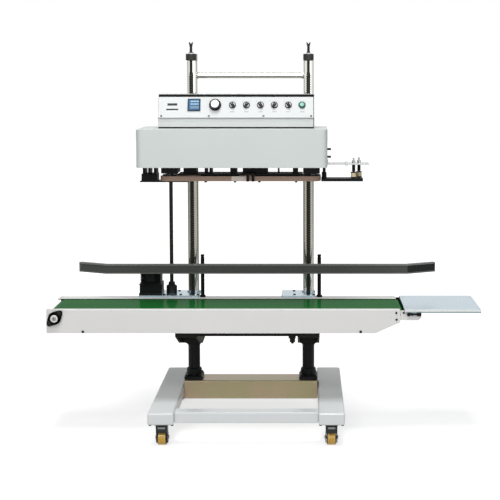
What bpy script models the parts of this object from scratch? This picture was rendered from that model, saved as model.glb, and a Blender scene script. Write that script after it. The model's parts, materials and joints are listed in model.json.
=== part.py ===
"""Vertical continuous band sealer: a sealing head on a screw lift over a belt conveyor.

Metres, +Z up. X runs along the conveyor (bags travel towards -X), Y runs from the
operator's side to the back. The origin is on the floor, in the middle of the length
of the conveyor with its infeed plate and in the middle of the base's depth.
"""

import math

import bmesh
import bpy
from mathutils import Matrix, Vector

# Clearances
SEAT_GAP = 0.0003
RUN_GAP = 0.0005
BITE = 0.001
OVERCUT = 0.010
EDGE_BREAK = 0.0015

# Base on castors
BEAM_LENGTH = 0.68
BEAM_WIDTH = 0.086
BEAM_HEIGHT = 0.04
BEAM_SPACING = 0.56
BEAM_ROUNDING = 0.004
CASTOR_HEIGHT = 0.08
CASTOR_INSET = 0.045
CASTOR_TRAIL = 0.014
CASTOR_PLATE = 0.058
CASTOR_PLATE_THICKNESS = 0.0025
CASTOR_PLATE_CORNER = 0.006
CASTOR_BOLT_INSET = 0.008
CASTOR_BOLT_RADIUS = 0.0052
WHEEL_RADIUS = 0.025
WHEEL_WIDTH = 0.030
WHEEL_SIDE_RADIUS = 0.0215
WHEEL_TREAD_WIDTH = 0.0234
FORK_SHEET = 0.0025
FORK_WIDTH = 0.034
FORK_CROWN_RADIUS = 0.022
FORK_EYE_RADIUS = 0.0088
FORK_LEG_START = 0.0136
FORK_LEG_END = 0.0198
RACE_RADIUS = 0.0165
KINGPIN_RADIUS = 0.004
RIVET_RADIUS = 0.0064
RIVET_HEAD = 0.002
AXLE_RADIUS = 0.004
AXLE_END = 0.0035
FRONT_BAR_DEPTH = 0.055
FRONT_BAR_HEIGHT = 0.036
FRONT_BAR_SETBACK = 0.020
FRONT_BAR_ROUNDING = 0.002
REAR_BEAM_DEPTH = 0.108
REAR_BEAM_HEIGHT = 0.065
REAR_BEAM_RISE = 0.020
REAR_BEAM_SHEET = 0.003

# Pillars, columns and lift screws
STAND_CENTRE_X = -0.0555
COLUMN_SPACING = 0.409
COLUMN_Y = 0.090
COLUMN_RADIUS = 0.019
COLUMN_TOP = 1.272
FOOT_WIDTH = 0.066
FOOT_DEPTH = 0.090
FOOT_THICKNESS = 0.011
FOOT_COLLAR_RADIUS = 0.027
FOOT_COLLAR_HEIGHT = 0.026
FOOT_COLLAR_BREAK = 0.003
FOOT_CORNER = 0.010
FOOT_BOLT_INSET = 0.010
FOOT_BOLT_RADIUS = 0.006
FOOT_BOLT_HEIGHT = 0.006
TUBE_RADIUS = 0.021
SADDLE_WIDTH = 0.074
SADDLE_DROP = 0.104
SADDLE_FLANGE = 0.008
SADDLE_FRONT_OVERHANG = 0.020
SADDLE_KNEE_REACH = 0.42
SADDLE_KNEE_DROP = 0.60
SADDLE_HEEL = 0.018
SADDLE_TOE = 0.010
SADDLE_CUP_RISE = 0.006
SADDLE_SIDE = 0.002
POCKET_WALL = 0.006
CHAIN_CLEARANCE = 0.003
HUB_WALL = 0.005
SOCKET_DEPTH = 0.042
SCREW_TO_COLUMN = 0.0445
SCREW_RADIUS = 0.008
SCREW_COLLAR = 0.004
SCREW_COLLAR_HEIGHT = 0.010
SHOULDER_BELOW_TOP = 0.047
SHOULDER_TAPER = 0.006
SPROCKET_INSET = 0.0015
SPROCKET_TOOTH = 0.0016
TOOTH_ROOT_SHARE = 0.30
TOOTH_TIP_SHARE = 0.12
JOURNAL_RADIUS = 0.005
CRANK_END_HEIGHT = 0.041
CRANK_HEAD_HEIGHT = 0.012
CRANK_HEAD_FLARE = 0.0025
CRANK_NECK = 0.001
CRANK_COLLAR = 0.002
CRANK_COLLAR_HEIGHT = 0.006
CRANK_SLOT_WIDTH = 0.0028
CRANK_SLOT_DEPTH = 0.007
TOP_BLOCK_HEIGHT = 0.022
TOP_BLOCK_WIDTH = 0.037
TOP_BOLT_RADIUS = 0.0065
TOP_BOLT_HEIGHT = 0.005
TIE_TUBE_RADIUS = 0.010
TIE_TUBE_BELOW_TOP = 0.052
CHAIN_PITCH = 0.009525
SPROCKET_TEETH = 9
CHAIN_PLATE_HEIGHT = 0.0082
CHAIN_WIDTH = 0.008
CHAIN_BELOW_FLANGE = 0.043

# Conveyor
CONVEYOR_LENGTH = 1.1755
CONVEYOR_BOTTOM = 0.365
CONVEYOR_HEIGHT = 0.080
CONVEYOR_FRONT_Y = -0.240
CONVEYOR_WIDTH = 0.265
PANEL_SHEET = 0.003
BED_THICKNESS = 0.003
BED_CLEARANCE = 0.008
TIE_WIDTH = 0.040
TIE_HEIGHT = 0.010
TIE_CLEARANCE = 0.004
FRONT_FLANGE = 0.0175
NOSE_RISE = 0.0365
NOSE_LENGTH = 0.082
BELT_WIDTH = 0.190
BELT_THICKNESS = 0.002
BELT_BELOW_TOP = 0.0015
DRIVE_ROLLER_RADIUS = 0.025
DRIVE_ROLLER_INSET = 0.0285
DRIVE_AXLE_RADIUS = 0.006
TAIL_ROLLER_RADIUS = 0.015
TAIL_ROLLER_INSET = 0.003
TAIL_AXLE_RADIUS = 0.005
ROLLER_END_GAP = 0.002
AXLE_PROUD = 0.010
BEARING_LENGTH = 0.066
BEARING_HEIGHT = 0.038
BEARING_THICKNESS = 0.008
BEARING_BOSS_RADIUS = 0.016
BEARING_BOSS_RISE = 0.006
BEARING_RING_RADIUS = 0.010
BEARING_RING_RISE = 0.009
BEARING_LOBE_RADIUS = 0.010
BEARING_BOLT_RADIUS = 0.005
BEARING_BOLT_RISE = 0.004
BEARING_TILT = 45.0
INFEED_GAP = 0.0156
INFEED_LENGTH = 0.2539
INFEED_DEPTH = 0.280
INFEED_SHEET = 0.002
INFEED_LIP = 0.012
CHEEK_THICKNESS = 0.004
CHEEK_HEIGHT = 0.037
CHEEK_OVERLAP = 0.022
CHEEK_REACH = 0.071
CHEEK_HEEL = 0.004
CHEEK_TOE = 0.010
CHEEK_CROSS = 0.003
CHEEK_PLATE_GAP = 0.006
TAKE_UP_BOLT = 0.012
TAKE_UP_DEPTH = 0.006
PAD_SIDE = 0.020
PAD_INSET = 0.010

# Deck plates, motor and drive shaft
DECK_THICKNESS = 0.006
DECK_DEPTH = 0.120
DECK_LAP = 0.025
DECK_EDGE = 0.025
RIGHT_DECK_LENGTH = 0.120
DECK_CORNER = 0.006
DECK_SCREW_CLEARANCE = 0.003
MOTOR_WIDTH = 0.078
MOTOR_HEIGHT = 0.100
MOTOR_INSET = 0.040
MOTOR_CLEARANCE = 0.013
GEAR_CASE_SHARE = 0.38
GEAR_CASE_ROUNDING = 0.003
STATOR_INSET = 0.004
STATOR_CORNER = 0.012
END_BELL_HEIGHT = 0.016
END_BELL_CROWN = 0.004
END_BELL_TOP_INSET = 0.012
TERMINAL_WIDTH = 0.032
TERMINAL_PROUD = 0.010
TERMINAL_MARGIN = 0.008
SHAFT_RADIUS = 0.0065
SHAFT_TO_COLUMN = 0.075
SHAFT_Y = 0.057
SHAFT_TOP = 1.140
SHAFT_HOUSING_RADIUS = 0.019
SHAFT_HOUSING_HEIGHT = 0.030
SHAFT_HOUSING_BREAK = 0.004
SHAFT_FLANGE = 0.005
SHAFT_FLANGE_HEIGHT = 0.010

# Guide rail
POST_TO_COLUMN = 0.038
POST_RADIUS = 0.0065
POST_HEIGHT = 0.150
POST_SETBACK = 0.013
POST_FOOT = 0.004
POST_FOOT_HEIGHT = 0.006
POST_FOOT_BREAK = 0.002
RAIL_LEFT_X = -0.557
RAIL_STRAIGHT = 1.051
RAIL_BENT_REACH = 0.101
RAIL_BENT_ANGLE = 28.0
RAIL_HEIGHT = 0.034
RAIL_DEPTH = 0.016
RAIL_SHEET = 0.002
RAIL_BOTTOM = 0.531
RAIL_TO_POST = 0.032
CLAMP_WIDTH = 0.030
CLAMP_HEIGHT = 0.020
CLAMP_WALL = 0.007
SHARPEST_MITRE = 0.2

# Sealing head
HEAD_CENTRE_X = -0.1045
HEAD_LENGTH = 0.631
HEAD_FRONT_Y = -0.240
HEAD_DEPTH = 0.270
HEAD_BOTTOM = 0.916
HEAD_HEIGHT = 0.126
COVER_SHEET = 0.002
COVER_CORNER = 0.020
COVER_SCREW_RADIUS = 0.004
COVER_SCREW_REACH = 0.014
COVER_SCREW_LEVELS = (0.030, 0.056)
CARRIAGE_PLATE = 0.008
SLEEVE_WALL = 0.009
SLEEVE_HEIGHT = 0.100
SLEEVE_RISE = 0.014
SHAFT_SLEEVE_SHARE = 0.6
NIP_Y = -0.125
BOX_LENGTH = 0.524
BOX_CENTRE_X = -0.094
BOX_FRONT_Y = -0.140
BOX_DEPTH = 0.150
BOX_HEIGHT = 0.114
BOX_KICK = 0.033
BOX_BROW = 0.008
BOX_SHEET = 0.002
PANEL_TILT = 20.0
PANEL_THICKNESS = 0.002
PANEL_MARGIN = 0.005

# Controls on the panel, placed along it from the middle of the box
CONTROLLER_TO_END = 0.120
CONTROLLER_SIDE = 0.043
CONTROLLER_PROUD = 0.006
CONTROLLER_BODY = 0.036
CONTROLLER_DEPTH = 0.020
CONTROLLER_BORDER = 0.004
CONTROLLER_FACE_SINK = 0.0012
KNOB_TO_CONTROLLER = 0.071
KNOB_SKIRT_HEIGHT = 0.003
KNOB_SHOULDER = 0.82
KNOB_CROWN = 0.68
POINTER_WIDTH = 0.002
POINTER_PROUD = 0.0008
SPEED_KNOB_RADIUS = 0.0205
SPEED_KNOB_HEIGHT = 0.016
SELECTOR_TO_KNOB = 0.058
BUTTON_TO_SELECTOR = 0.046
SELECTOR_COUNT = 5
SELECTOR_RADIUS = 0.0115
SELECTOR_TURN = 60.0
SELECTOR_SKIRT_HEIGHT = 0.004
GRIP_HEIGHT = 0.010
GRIP_WIDTH_SHARE = 0.56
GRIP_LENGTH_SHARE = 1.64
BUTTON_TO_END = 0.041
BUTTON_RADIUS = 0.0095
BUTTON_BEZEL = 0.0125
BUTTON_BEZEL_HEIGHT = 0.004
BUTTON_SKIRT = 0.004
BUTTON_TRAVEL = 0.003
STEM_RADIUS = 0.003
STEM_LENGTH = 0.008
CONTROL_RISE = 0.008
PANEL_SCREW_RADIUS = 0.003
PANEL_SCREW_RISE = 0.008
PANEL_SCREW_SHARES = (-0.96, -0.35, 0.35, 0.96)
BOX_MOUTH_REACH = 0.02

# Sealing band train
BAND_WHEEL_RADIUS = 0.030
BAND_WHEEL_LEFT_X = -0.316
BAND_WHEEL_SPACING = 0.475
BAND_THICKNESS = 0.0012
BAND_WIDTH = 0.0165
BAND_BELOW_HEAD = 0.0315
SPINDLE_RADIUS = 0.005
SPINDLE_COLLAR = 0.009
SPINDLE_COLLAR_HEIGHT = 0.007
WHEEL_WEB_RADIUS = 0.0234
WHEEL_RIM_BEVEL = 0.003
WHEEL_HUB_RADIUS = 0.009
BEARING_BLOCK_HALF = 0.0275
BEARING_BLOCK_DROP = 0.023
BEARING_BLOCK_NARROWING = 0.7
CARRIER_CLEARANCE = 0.002
CARRIER_SETBACK = 0.006
CARRIER_THICKNESS = 0.006
CARRIER_DEPTH = 0.034
HEATER_CENTRE_X = 0.045
HEATER_LENGTH = 0.154
COOLER_CENTRE_X = -0.1485
COOLER_LENGTH = 0.129
BLOCK_DEPTH = 0.022
FIN_COUNT = 5
FIN_SLOT = 0.006
FIN_ROOT_SHARE = 0.45
FIN_WIDEST_SHARE = 0.6
FIN_ROOF = 0.003
HANGER_SETBACK = 0.004
HANGER_DEPTH = 0.016
COOLER_LEFT_HANGERS = ((-0.058, -0.013), (0.013, 0.022), (0.029, 0.038))
COOLER_RIGHT_HANGERS = ((-0.030, -0.008),)
HEATER_LEFT_HANGERS = ((-0.040, 0.044),)
HEATER_RIGHT_HANGERS = ((-0.026, -0.008),)
SPRING_ROD_RADIUS = 0.0015
SPRING_ROD_OFFSET = 0.080
BLOCK_BOLT_RADIUS = 0.0042
BLOCK_BOLT_HEIGHT = 0.007
BLOCK_BOLT_INSET = 0.015
PRESS_ROLLER_X = -0.0448
PRESS_ROLLER_SPACING = 0.0175
PRESS_ROLLER_RADIUS = 0.0045
BRIDGE_MARGIN = 0.006
BRIDGE_RISE = 0.003
BRIDGE_CLEARANCE = 0.004

# Infeed arm and outfeed guard
PRONG_LENGTH = 0.1395
PRONG_DEPTH = 0.028
PRONG_THICKNESS = 0.010
PRONG_CLEARANCE = 0.002
BAG_SLOT = 0.005
INFEED_ROLLER_RADIUS = 0.010
INFEED_ROLLER_HEIGHT = 0.022
INFEED_ROLLER_INSET = 0.022
INFEED_ROLLER_STAGGER = 0.019
INFEED_SPINDLE_RADIUS = 0.004
ARM_POST_RADIUS = 0.008
ARM_POST_INSET = 0.0095
ARM_POST_HEIGHT = 0.018
ARM_POST_NECK_SHARE = 0.6
ARM_POST_DEPTH_SHARE = 0.7
PRONG_RISE = 0.007
TOP_BAR_LENGTH = 0.142
TOP_BAR_THICKNESS = 0.005
TOP_BAR_RISE = 0.0045
TOP_BAR_FOOT = 0.004
TOP_BAR_FOOT_RISE = 0.012
TOP_COLLAR_START = 0.062
TOP_COLLAR_LENGTH = 0.008
TOP_COLLAR_PROUD = 0.003
ROLLER_TO_SLOT = 0.001
ROLLER_TO_BAR_EDGE = 0.002
SPINDLE_KNOB_RADIUS = 0.006
SPINDLE_KNOB_HEIGHT = 0.018
SPINDLE_SLEEVE_RADIUS = 0.0056
ROLLER_WAIST_SHARE = 0.82
ROLLER_RIM = 0.004
ROLLER_RIM_BEVEL = 0.002
GUARD_LENGTH = 0.165
GUARD_REACH = 0.070
GUARD_DEPTH = 0.070
GUARD_THICKNESS = 0.004
GUARD_BLOCK_LENGTH = 0.052
GUARD_TUNNEL_RISE = 0.011
GUARD_ROUNDING = 0.001
GUARD_DROP = 0.0015
GUARD_BLOCK_INSET = 0.006
GUARD_BLOCK_RISE = 0.006
GUARD_POST_INSET = 0.004
GUARD_POSTS = ((0.004, 0.013), (0.022, 0.030), (0.041, 0.050))

# Facets round a turned piece
FINE = 18
MEDIUM = 12
COARSE = 8
WRAP_STEPS = 14

# Levels and planes that several pieces share
BEAM_BOTTOM = CASTOR_HEIGHT
BEAM_TOP = BEAM_BOTTOM + BEAM_HEIGHT
REAR_BEAM_TOP = BEAM_TOP + REAR_BEAM_RISE
COLUMN_XS = {
    "left": STAND_CENTRE_X - COLUMN_SPACING / 2,
    "right": STAND_CENTRE_X + COLUMN_SPACING / 2,
}
SCREW_Y = COLUMN_Y - SCREW_TO_COLUMN
SADDLE_TOP = CONVEYOR_BOTTOM - SEAT_GAP
CHAIN_Z = SADDLE_TOP - SADDLE_FLANGE - CHAIN_BELOW_FLANGE
CHAIN_PITCH_RADIUS = CHAIN_PITCH / (2 * math.sin(math.pi / SPROCKET_TEETH))
CONVEYOR_LEFT = -(CONVEYOR_LENGTH + INFEED_GAP + INFEED_LENGTH) / 2
CONVEYOR_RIGHT = CONVEYOR_LEFT + CONVEYOR_LENGTH
CONVEYOR_BACK_Y = CONVEYOR_FRONT_Y + CONVEYOR_WIDTH
CONVEYOR_TOP = CONVEYOR_BOTTOM + CONVEYOR_HEIGHT
BELT_FRONT_Y = CONVEYOR_FRONT_Y + FRONT_FLANGE + RUN_GAP
BELT_BACK_Y = BELT_FRONT_Y + BELT_WIDTH
ROLLER_TOP = CONVEYOR_TOP - BELT_BELOW_TOP - BELT_THICKNESS
DRIVE_ROLLER_X = CONVEYOR_LEFT + DRIVE_ROLLER_INSET
DRIVE_ROLLER_Z = ROLLER_TOP - DRIVE_ROLLER_RADIUS
TAIL_ROLLER_X = CONVEYOR_RIGHT - TAIL_ROLLER_INSET
TAIL_ROLLER_Z = ROLLER_TOP - TAIL_ROLLER_RADIUS
DECK_BOTTOM = CONVEYOR_TOP + SEAT_GAP
DECK_TOP = DECK_BOTTOM + DECK_THICKNESS
SHAFT_X = COLUMN_XS["left"] - SHAFT_TO_COLUMN
MOTOR_X = SHAFT_X - SHAFT_HOUSING_RADIUS - MOTOR_CLEARANCE - MOTOR_WIDTH / 2
LEFT_DECK_LENGTH = COLUMN_XS["left"] + DECK_EDGE - MOTOR_X + MOTOR_INSET
POST_Y = CONVEYOR_BACK_Y - POST_SETBACK
HEAD_LEFT = HEAD_CENTRE_X - HEAD_LENGTH / 2
HEAD_RIGHT = HEAD_CENTRE_X + HEAD_LENGTH / 2
HEAD_BACK_Y = HEAD_FRONT_Y + HEAD_DEPTH
HEAD_TOP = HEAD_BOTTOM + HEAD_HEIGHT
CARRIAGE_FRONT_Y = HEAD_BACK_Y - CARRIAGE_PLATE
CARRIAGE_UNDER = HEAD_BOTTOM + SEAT_GAP
BAND_TOP = HEAD_BOTTOM - BAND_BELOW_HEAD
BAND_BOTTOM = BAND_TOP - BAND_WIDTH
BAND_WHEEL_XS = (BAND_WHEEL_LEFT_X, BAND_WHEEL_LEFT_X + BAND_WHEEL_SPACING)
BAND_WHEEL_OFFSET = SEAT_GAP + BAND_THICKNESS + BAND_WHEEL_RADIUS + SEAT_GAP
PANEL_SLOPE_HEIGHT = BOX_HEIGHT - BOX_KICK - BOX_BROW
CONTROLLER_X = -BOX_LENGTH / 2 + CONTROLLER_TO_END
SPEED_KNOB_X = CONTROLLER_X + KNOB_TO_CONTROLLER
SELECTOR_X = SPEED_KNOB_X + SELECTOR_TO_KNOB
BUTTON_X = BOX_LENGTH / 2 - BUTTON_TO_END
SELECTOR_SPACING = (BUTTON_X - BUTTON_TO_SELECTOR - SELECTOR_X) / (SELECTOR_COUNT - 1)
PRONG_TOP = BAND_BOTTOM + PRONG_RISE
PRONG_START = BAND_WHEEL_XS[1] + BAND_WHEEL_RADIUS + BAND_THICKNESS + PRONG_CLEARANCE
PRONG_END = PRONG_START + PRONG_LENGTH


# Materials


def finish(name, colour, roughness, metallic=0.0):
    """One Principled material."""
    material = bpy.data.materials.new(name)
    material.use_nodes = True
    shader = material.node_tree.nodes["Principled BSDF"]
    shader.inputs["Base Color"].default_value = (*colour, 1.0)
    shader.inputs["Roughness"].default_value = roughness
    shader.inputs["Metallic"].default_value = metallic
    return material


FINISHES = {
    "painted_grey": ((0.60, 0.64, 0.62), 0.45, 0.0),
    "panel_grey": ((0.68, 0.67, 0.65), 0.42, 0.0),
    "base_grey": ((0.70, 0.72, 0.73), 0.35, 0.1),
    "passivated": ((0.42, 0.36, 0.22), 0.38, 0.7),
    "black_enamel": ((0.012, 0.013, 0.014), 0.38, 0.0),
    "chrome": ((0.80, 0.81, 0.82), 0.10, 1.0),
    "dark_steel": ((0.06, 0.065, 0.07), 0.42, 0.8),
    "zinc_steel": ((0.55, 0.57, 0.60), 0.32, 0.9),
    "brushed_steel": ((0.56, 0.60, 0.64), 0.30, 0.9),
    "belt_green": ((0.02, 0.22, 0.05), 0.35, 0.0),
    "rail_grey": ((0.085, 0.085, 0.080), 0.45, 0.0),
    "band_brown": ((0.26, 0.17, 0.12), 0.50, 0.0),
    "amber_wheel": ((0.62, 0.33, 0.04), 0.30, 0.0),
    "panel_white": ((0.80, 0.81, 0.82), 0.40, 0.0),
    "black_plastic": ((0.015, 0.015, 0.017), 0.32, 0.0),
    "blue_plastic": ((0.010, 0.045, 0.16), 0.28, 0.0),
    "green_plastic": ((0.010, 0.18, 0.08), 0.25, 0.0),
    "brass": ((0.62, 0.52, 0.30), 0.30, 0.9),
}


# Solids and outlines


def mesh_object(shape):
    """A bmesh as an object in the scene, with its normals turned outwards."""
    bmesh.ops.recalc_face_normals(shape, faces=shape.faces)
    mesh = bpy.data.meshes.new("solid")
    shape.to_mesh(mesh)
    shape.free()
    solid = bpy.data.objects.new("solid", mesh)
    bpy.context.scene.collection.objects.link(solid)
    return solid


def prism(outline, axis, start, end):
    """A closed outline drawn across an axis and extruded from start to end along it.

    Across X the outline holds (y, z), across Y it holds (x, z), across Z it holds (x, y).
    """
    place = {
        "X": lambda u, v: (start, u, v),
        "Y": lambda u, v: (u, start, v),
        "Z": lambda u, v: (u, v, start),
    }[axis]
    along = {"X": (1, 0, 0), "Y": (0, 1, 0), "Z": (0, 0, 1)}[axis]
    shape = bmesh.new()
    face = shape.faces.new([shape.verts.new(place(u, v)) for u, v in outline])
    grown = bmesh.ops.extrude_face_region(shape, geom=[face])
    moved = [item for item in grown["geom"] if isinstance(item, bmesh.types.BMVert)]
    bmesh.ops.translate(shape, verts=moved, vec=Vector(along) * (end - start))
    return mesh_object(shape)


def block(x, y, z, rounding=0.0):
    """A box between pairs of limits, with every edge broken where rounding is given."""
    shape = bmesh.new()
    bmesh.ops.create_cube(shape, size=1.0)
    size = (x[1] - x[0], y[1] - y[0], z[1] - z[0])
    centre = ((x[0] + x[1]) / 2, (y[0] + y[1]) / 2, (z[0] + z[1]) / 2)
    bmesh.ops.scale(shape, vec=size, verts=shape.verts)
    bmesh.ops.translate(shape, vec=centre, verts=shape.verts)
    if rounding:
        bmesh.ops.bevel(
            shape,
            geom=shape.edges[:],
            offset=min(rounding, min(size) / 3),
            segments=1,
            affect="EDGES",
            profile=0.5,
            material=-1,
        )
    return mesh_object(shape)


def turned(profile, centre, axis="Z", facets=MEDIUM, first=0.0):
    """A profile of (radius, height) points revolved about an axis through centre.

    The profile runs from one end of the axis to the other; its ends are closed with
    flat faces, and a facet's edge starts at the angle first.
    """
    shape = bmesh.new()
    rings = []
    for radius, height in profile:
        ring = []
        for step in range(facets):
            angle = first + 2 * math.pi * step / facets
            ring.append(shape.verts.new((radius * math.cos(angle), radius * math.sin(angle), height)))
        rings.append(ring)
    for lower, upper in zip(rings, rings[1:]):
        for step in range(facets):
            after = (step + 1) % facets
            shape.faces.new((lower[step], lower[after], upper[after], upper[step]))
    shape.faces.new(list(reversed(rings[0])))
    shape.faces.new(rings[-1])
    turn = {
        "Z": Matrix.Identity(4),
        "X": Matrix.Rotation(math.pi / 2, 4, "Y"),
        "Y": Matrix.Rotation(-math.pi / 2, 4, "X"),
    }[axis]
    bmesh.ops.transform(shape, matrix=Matrix.Translation(centre) @ turn, verts=shape.verts)
    return mesh_object(shape)


def rod(radius, start, end, facets=MEDIUM, first=0.0):
    """A round bar between two points that differ along one axis."""
    start, end = Vector(start), Vector(end)
    span = end - start
    axis = max("XYZ", key=lambda name: abs(span["XYZ".index(name)]))
    length = span["XYZ".index(axis)]
    heights = sorted((0.0, length))
    return turned([(radius, heights[0]), (radius, heights[1])], start, axis, facets, first)


def hole(radius, start, end, facets=MEDIUM):
    """A cutter whose flat facets lie outside the radius, so that a round piece clears it."""
    return rod(radius / math.cos(math.pi / facets), start, end, facets)


def arc(centre, radius, start, end, steps):
    """Points on an arc, angles in degrees, both ends included."""
    angles = [math.radians(start + (end - start) * step / steps) for step in range(steps + 1)]
    return [(centre[0] + radius * math.cos(a), centre[1] + radius * math.sin(a)) for a in angles]


def rounded_rectangle(x, y, radius, steps=3):
    """A rectangle between limits with arcs at its corners."""
    corners = (
        ((x[1] - radius, y[1] - radius), 0),
        ((x[0] + radius, y[1] - radius), 90),
        ((x[0] + radius, y[0] + radius), 180),
        ((x[1] - radius, y[0] + radius), 270),
    )
    outline = []
    for centre, angle in corners:
        outline += arc(centre, radius, angle, angle + 90, steps)
    return outline


def belt_outline(left, left_radius, right, right_radius, steps):
    """The taut outline round two pulleys, given as (u, v) centres and radii."""
    span = math.hypot(right[0] - left[0], right[1] - left[1])
    slope = math.degrees(math.atan2(right[1] - left[1], right[0] - left[0]))
    lean = math.degrees(math.asin((left_radius - right_radius) / span))
    outline = arc(right, right_radius, slope - 90 + lean, slope + 90 - lean, steps)
    outline += arc(left, left_radius, slope + 90 - lean, slope + 270 + lean, steps)
    return outline


def combined(base, pieces, operation):
    """The base after one exact Boolean with each piece, which is then removed."""
    for piece in pieces:
        modifier = base.modifiers.new(operation.title(), "BOOLEAN")
        modifier.operation = operation
        modifier.solver = "EXACT"
        modifier.object = piece
    bpy.context.view_layer.update()
    graph = bpy.context.evaluated_depsgraph_get()
    mesh = bpy.data.meshes.new_from_object(base.evaluated_get(graph))
    base.modifiers.clear()
    base.data = mesh
    for piece in pieces:
        bpy.data.objects.remove(piece)
    return base


def fused(*pieces):
    """One closed body from pieces that overlap."""
    return combined(pieces[0], pieces[1:], "UNION")


def cut(body, *cutters):
    """The body less the cutters."""
    return combined(body, cutters, "DIFFERENCE")


def common(body, other):
    """What two solids share."""
    return combined(body, [other], "INTERSECT")


def placed(solid, matrix):
    """The solid with a transform taken into its mesh."""
    solid.data.transform(matrix)
    return solid


def node(name, solid, finish_name, parent=None, origin=(0.0, 0.0, 0.0), smooth=False):
    """Names a finished solid, sets its material and puts its origin on its axis."""
    solid.name = name
    solid.data.name = name
    solid.data.transform(Matrix.Translation(-Vector(origin)))
    solid.data.materials.clear()
    solid.data.materials.append(bpy.data.materials[finish_name])
    for face in solid.data.polygons:
        face.material_index = 0
    if smooth:
        solid.data.shade_smooth()
        solid.data.set_sharp_from_angle(angle=math.radians(35))
    solid.location = origin
    if parent is not None:
        solid.parent = parent
        solid.matrix_parent_inverse = parent.matrix_world.inverted()
    return solid


def pivot(name, place, parent=None):
    """An empty at a joint, for the pieces that move with it."""
    empty = bpy.data.objects.new(name, None)
    empty.location = place
    bpy.context.scene.collection.objects.link(empty)
    if parent is not None:
        empty.parent = parent
        empty.matrix_parent_inverse = parent.matrix_world.inverted()
    bpy.context.view_layer.update()
    return empty


# Base


def castor_places():
    """Swivel axes of the castors by name, as (x, y)."""
    places = {}
    for side, sign in (("left", -1), ("right", 1)):
        x = STAND_CENTRE_X + sign * BEAM_SPACING / 2
        places[f"front_{side}"] = (x, -BEAM_LENGTH / 2 + CASTOR_INSET)
        places[f"rear_{side}"] = (x, BEAM_LENGTH / 2 - CASTOR_INSET)
    return places


def crown_top():
    """Top of a fork's crown, under the raceway of the castor's plate."""
    return BEAM_BOTTOM - CASTOR_PLATE_THICKNESS - FORK_SHEET - SEAT_GAP


def castor_top(x, y):
    """A castor's plate with its bolts, raceway and kingpin, which the beam carries."""
    half = CASTOR_PLATE / 2
    under = BEAM_BOTTOM - CASTOR_PLATE_THICKNESS
    pieces = [
        prism(
            rounded_rectangle((x - half, x + half), (y - half, y + half), CASTOR_PLATE_CORNER, 2),
            "Z",
            under,
            BEAM_BOTTOM + SEAT_GAP,
        )
    ]
    head = crown_top() + SEAT_GAP
    bolt_offset = half - CASTOR_BOLT_INSET
    for side in (-1, 1):
        for end in (-1, 1):
            place = (x + side * bolt_offset, y + end * bolt_offset)
            pieces.append(
                rod(CASTOR_BOLT_RADIUS, (*place, head), (*place, under + SEAT_GAP), 6)
            )
    rivet = crown_top() - FORK_SHEET - SEAT_GAP
    profile = [
        (RIVET_RADIUS, rivet - RIVET_HEAD),
        (RIVET_RADIUS, rivet),
        (KINGPIN_RADIUS, rivet),
        (KINGPIN_RADIUS, head),
        (RACE_RADIUS, head),
        (RACE_RADIUS, under + SEAT_GAP),
    ]
    pieces.append(turned(profile, (x, y, 0.0), facets=COARSE))
    return pieces


def base_beam(side, sign):
    """A closed box-section beam with the plates of its two castors."""
    x = STAND_CENTRE_X + sign * BEAM_SPACING / 2
    beam = block(
        (x - BEAM_WIDTH / 2, x + BEAM_WIDTH / 2),
        (-BEAM_LENGTH / 2, BEAM_LENGTH / 2),
        (BEAM_BOTTOM, BEAM_TOP),
        BEAM_ROUNDING,
    )
    pieces = []
    for name, place in castor_places().items():
        if name.endswith(side):
            pieces += castor_top(*place)
    node(f"base_beam_{side}", fused(beam, *pieces), "base_grey")


def base_cross_members():
    """The front bar and the folded rear beam between the two side beams."""
    half = BEAM_SPACING / 2 - BEAM_WIDTH / 2 - SEAT_GAP
    span = (STAND_CENTRE_X - half, STAND_CENTRE_X + half)
    front = -BEAM_LENGTH / 2 + FRONT_BAR_SETBACK
    middle = (BEAM_BOTTOM + BEAM_TOP) / 2
    bar = block(
        span,
        (front, front + FRONT_BAR_DEPTH),
        (middle - FRONT_BAR_HEIGHT / 2, middle + FRONT_BAR_HEIGHT / 2),
        FRONT_BAR_ROUNDING,
    )
    node("base_front_bar", bar, "base_grey")

    y0 = COLUMN_Y - REAR_BEAM_DEPTH / 2
    y1 = COLUMN_Y + REAR_BEAM_DEPTH / 2
    bottom = REAR_BEAM_TOP - REAR_BEAM_HEIGHT
    bend = 2 * REAR_BEAM_SHEET
    inner = bend - REAR_BEAM_SHEET
    outline = [(y0, bottom)]
    outline += reversed(arc((y0 + bend, REAR_BEAM_TOP - bend), bend, 90, 180, 3))
    outline += reversed(arc((y1 - bend, REAR_BEAM_TOP - bend), bend, 0, 90, 3))
    outline += [(y1, bottom), (y1 - REAR_BEAM_SHEET, bottom)]
    outline += arc((y1 - bend, REAR_BEAM_TOP - bend), inner, 0, 90, 2)
    outline += arc((y0 + bend, REAR_BEAM_TOP - bend), inner, 90, 180, 2)
    outline += [(y0 + REAR_BEAM_SHEET, bottom)]
    node("base_rear_beam", prism(outline, "X", *span), "passivated")


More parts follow.
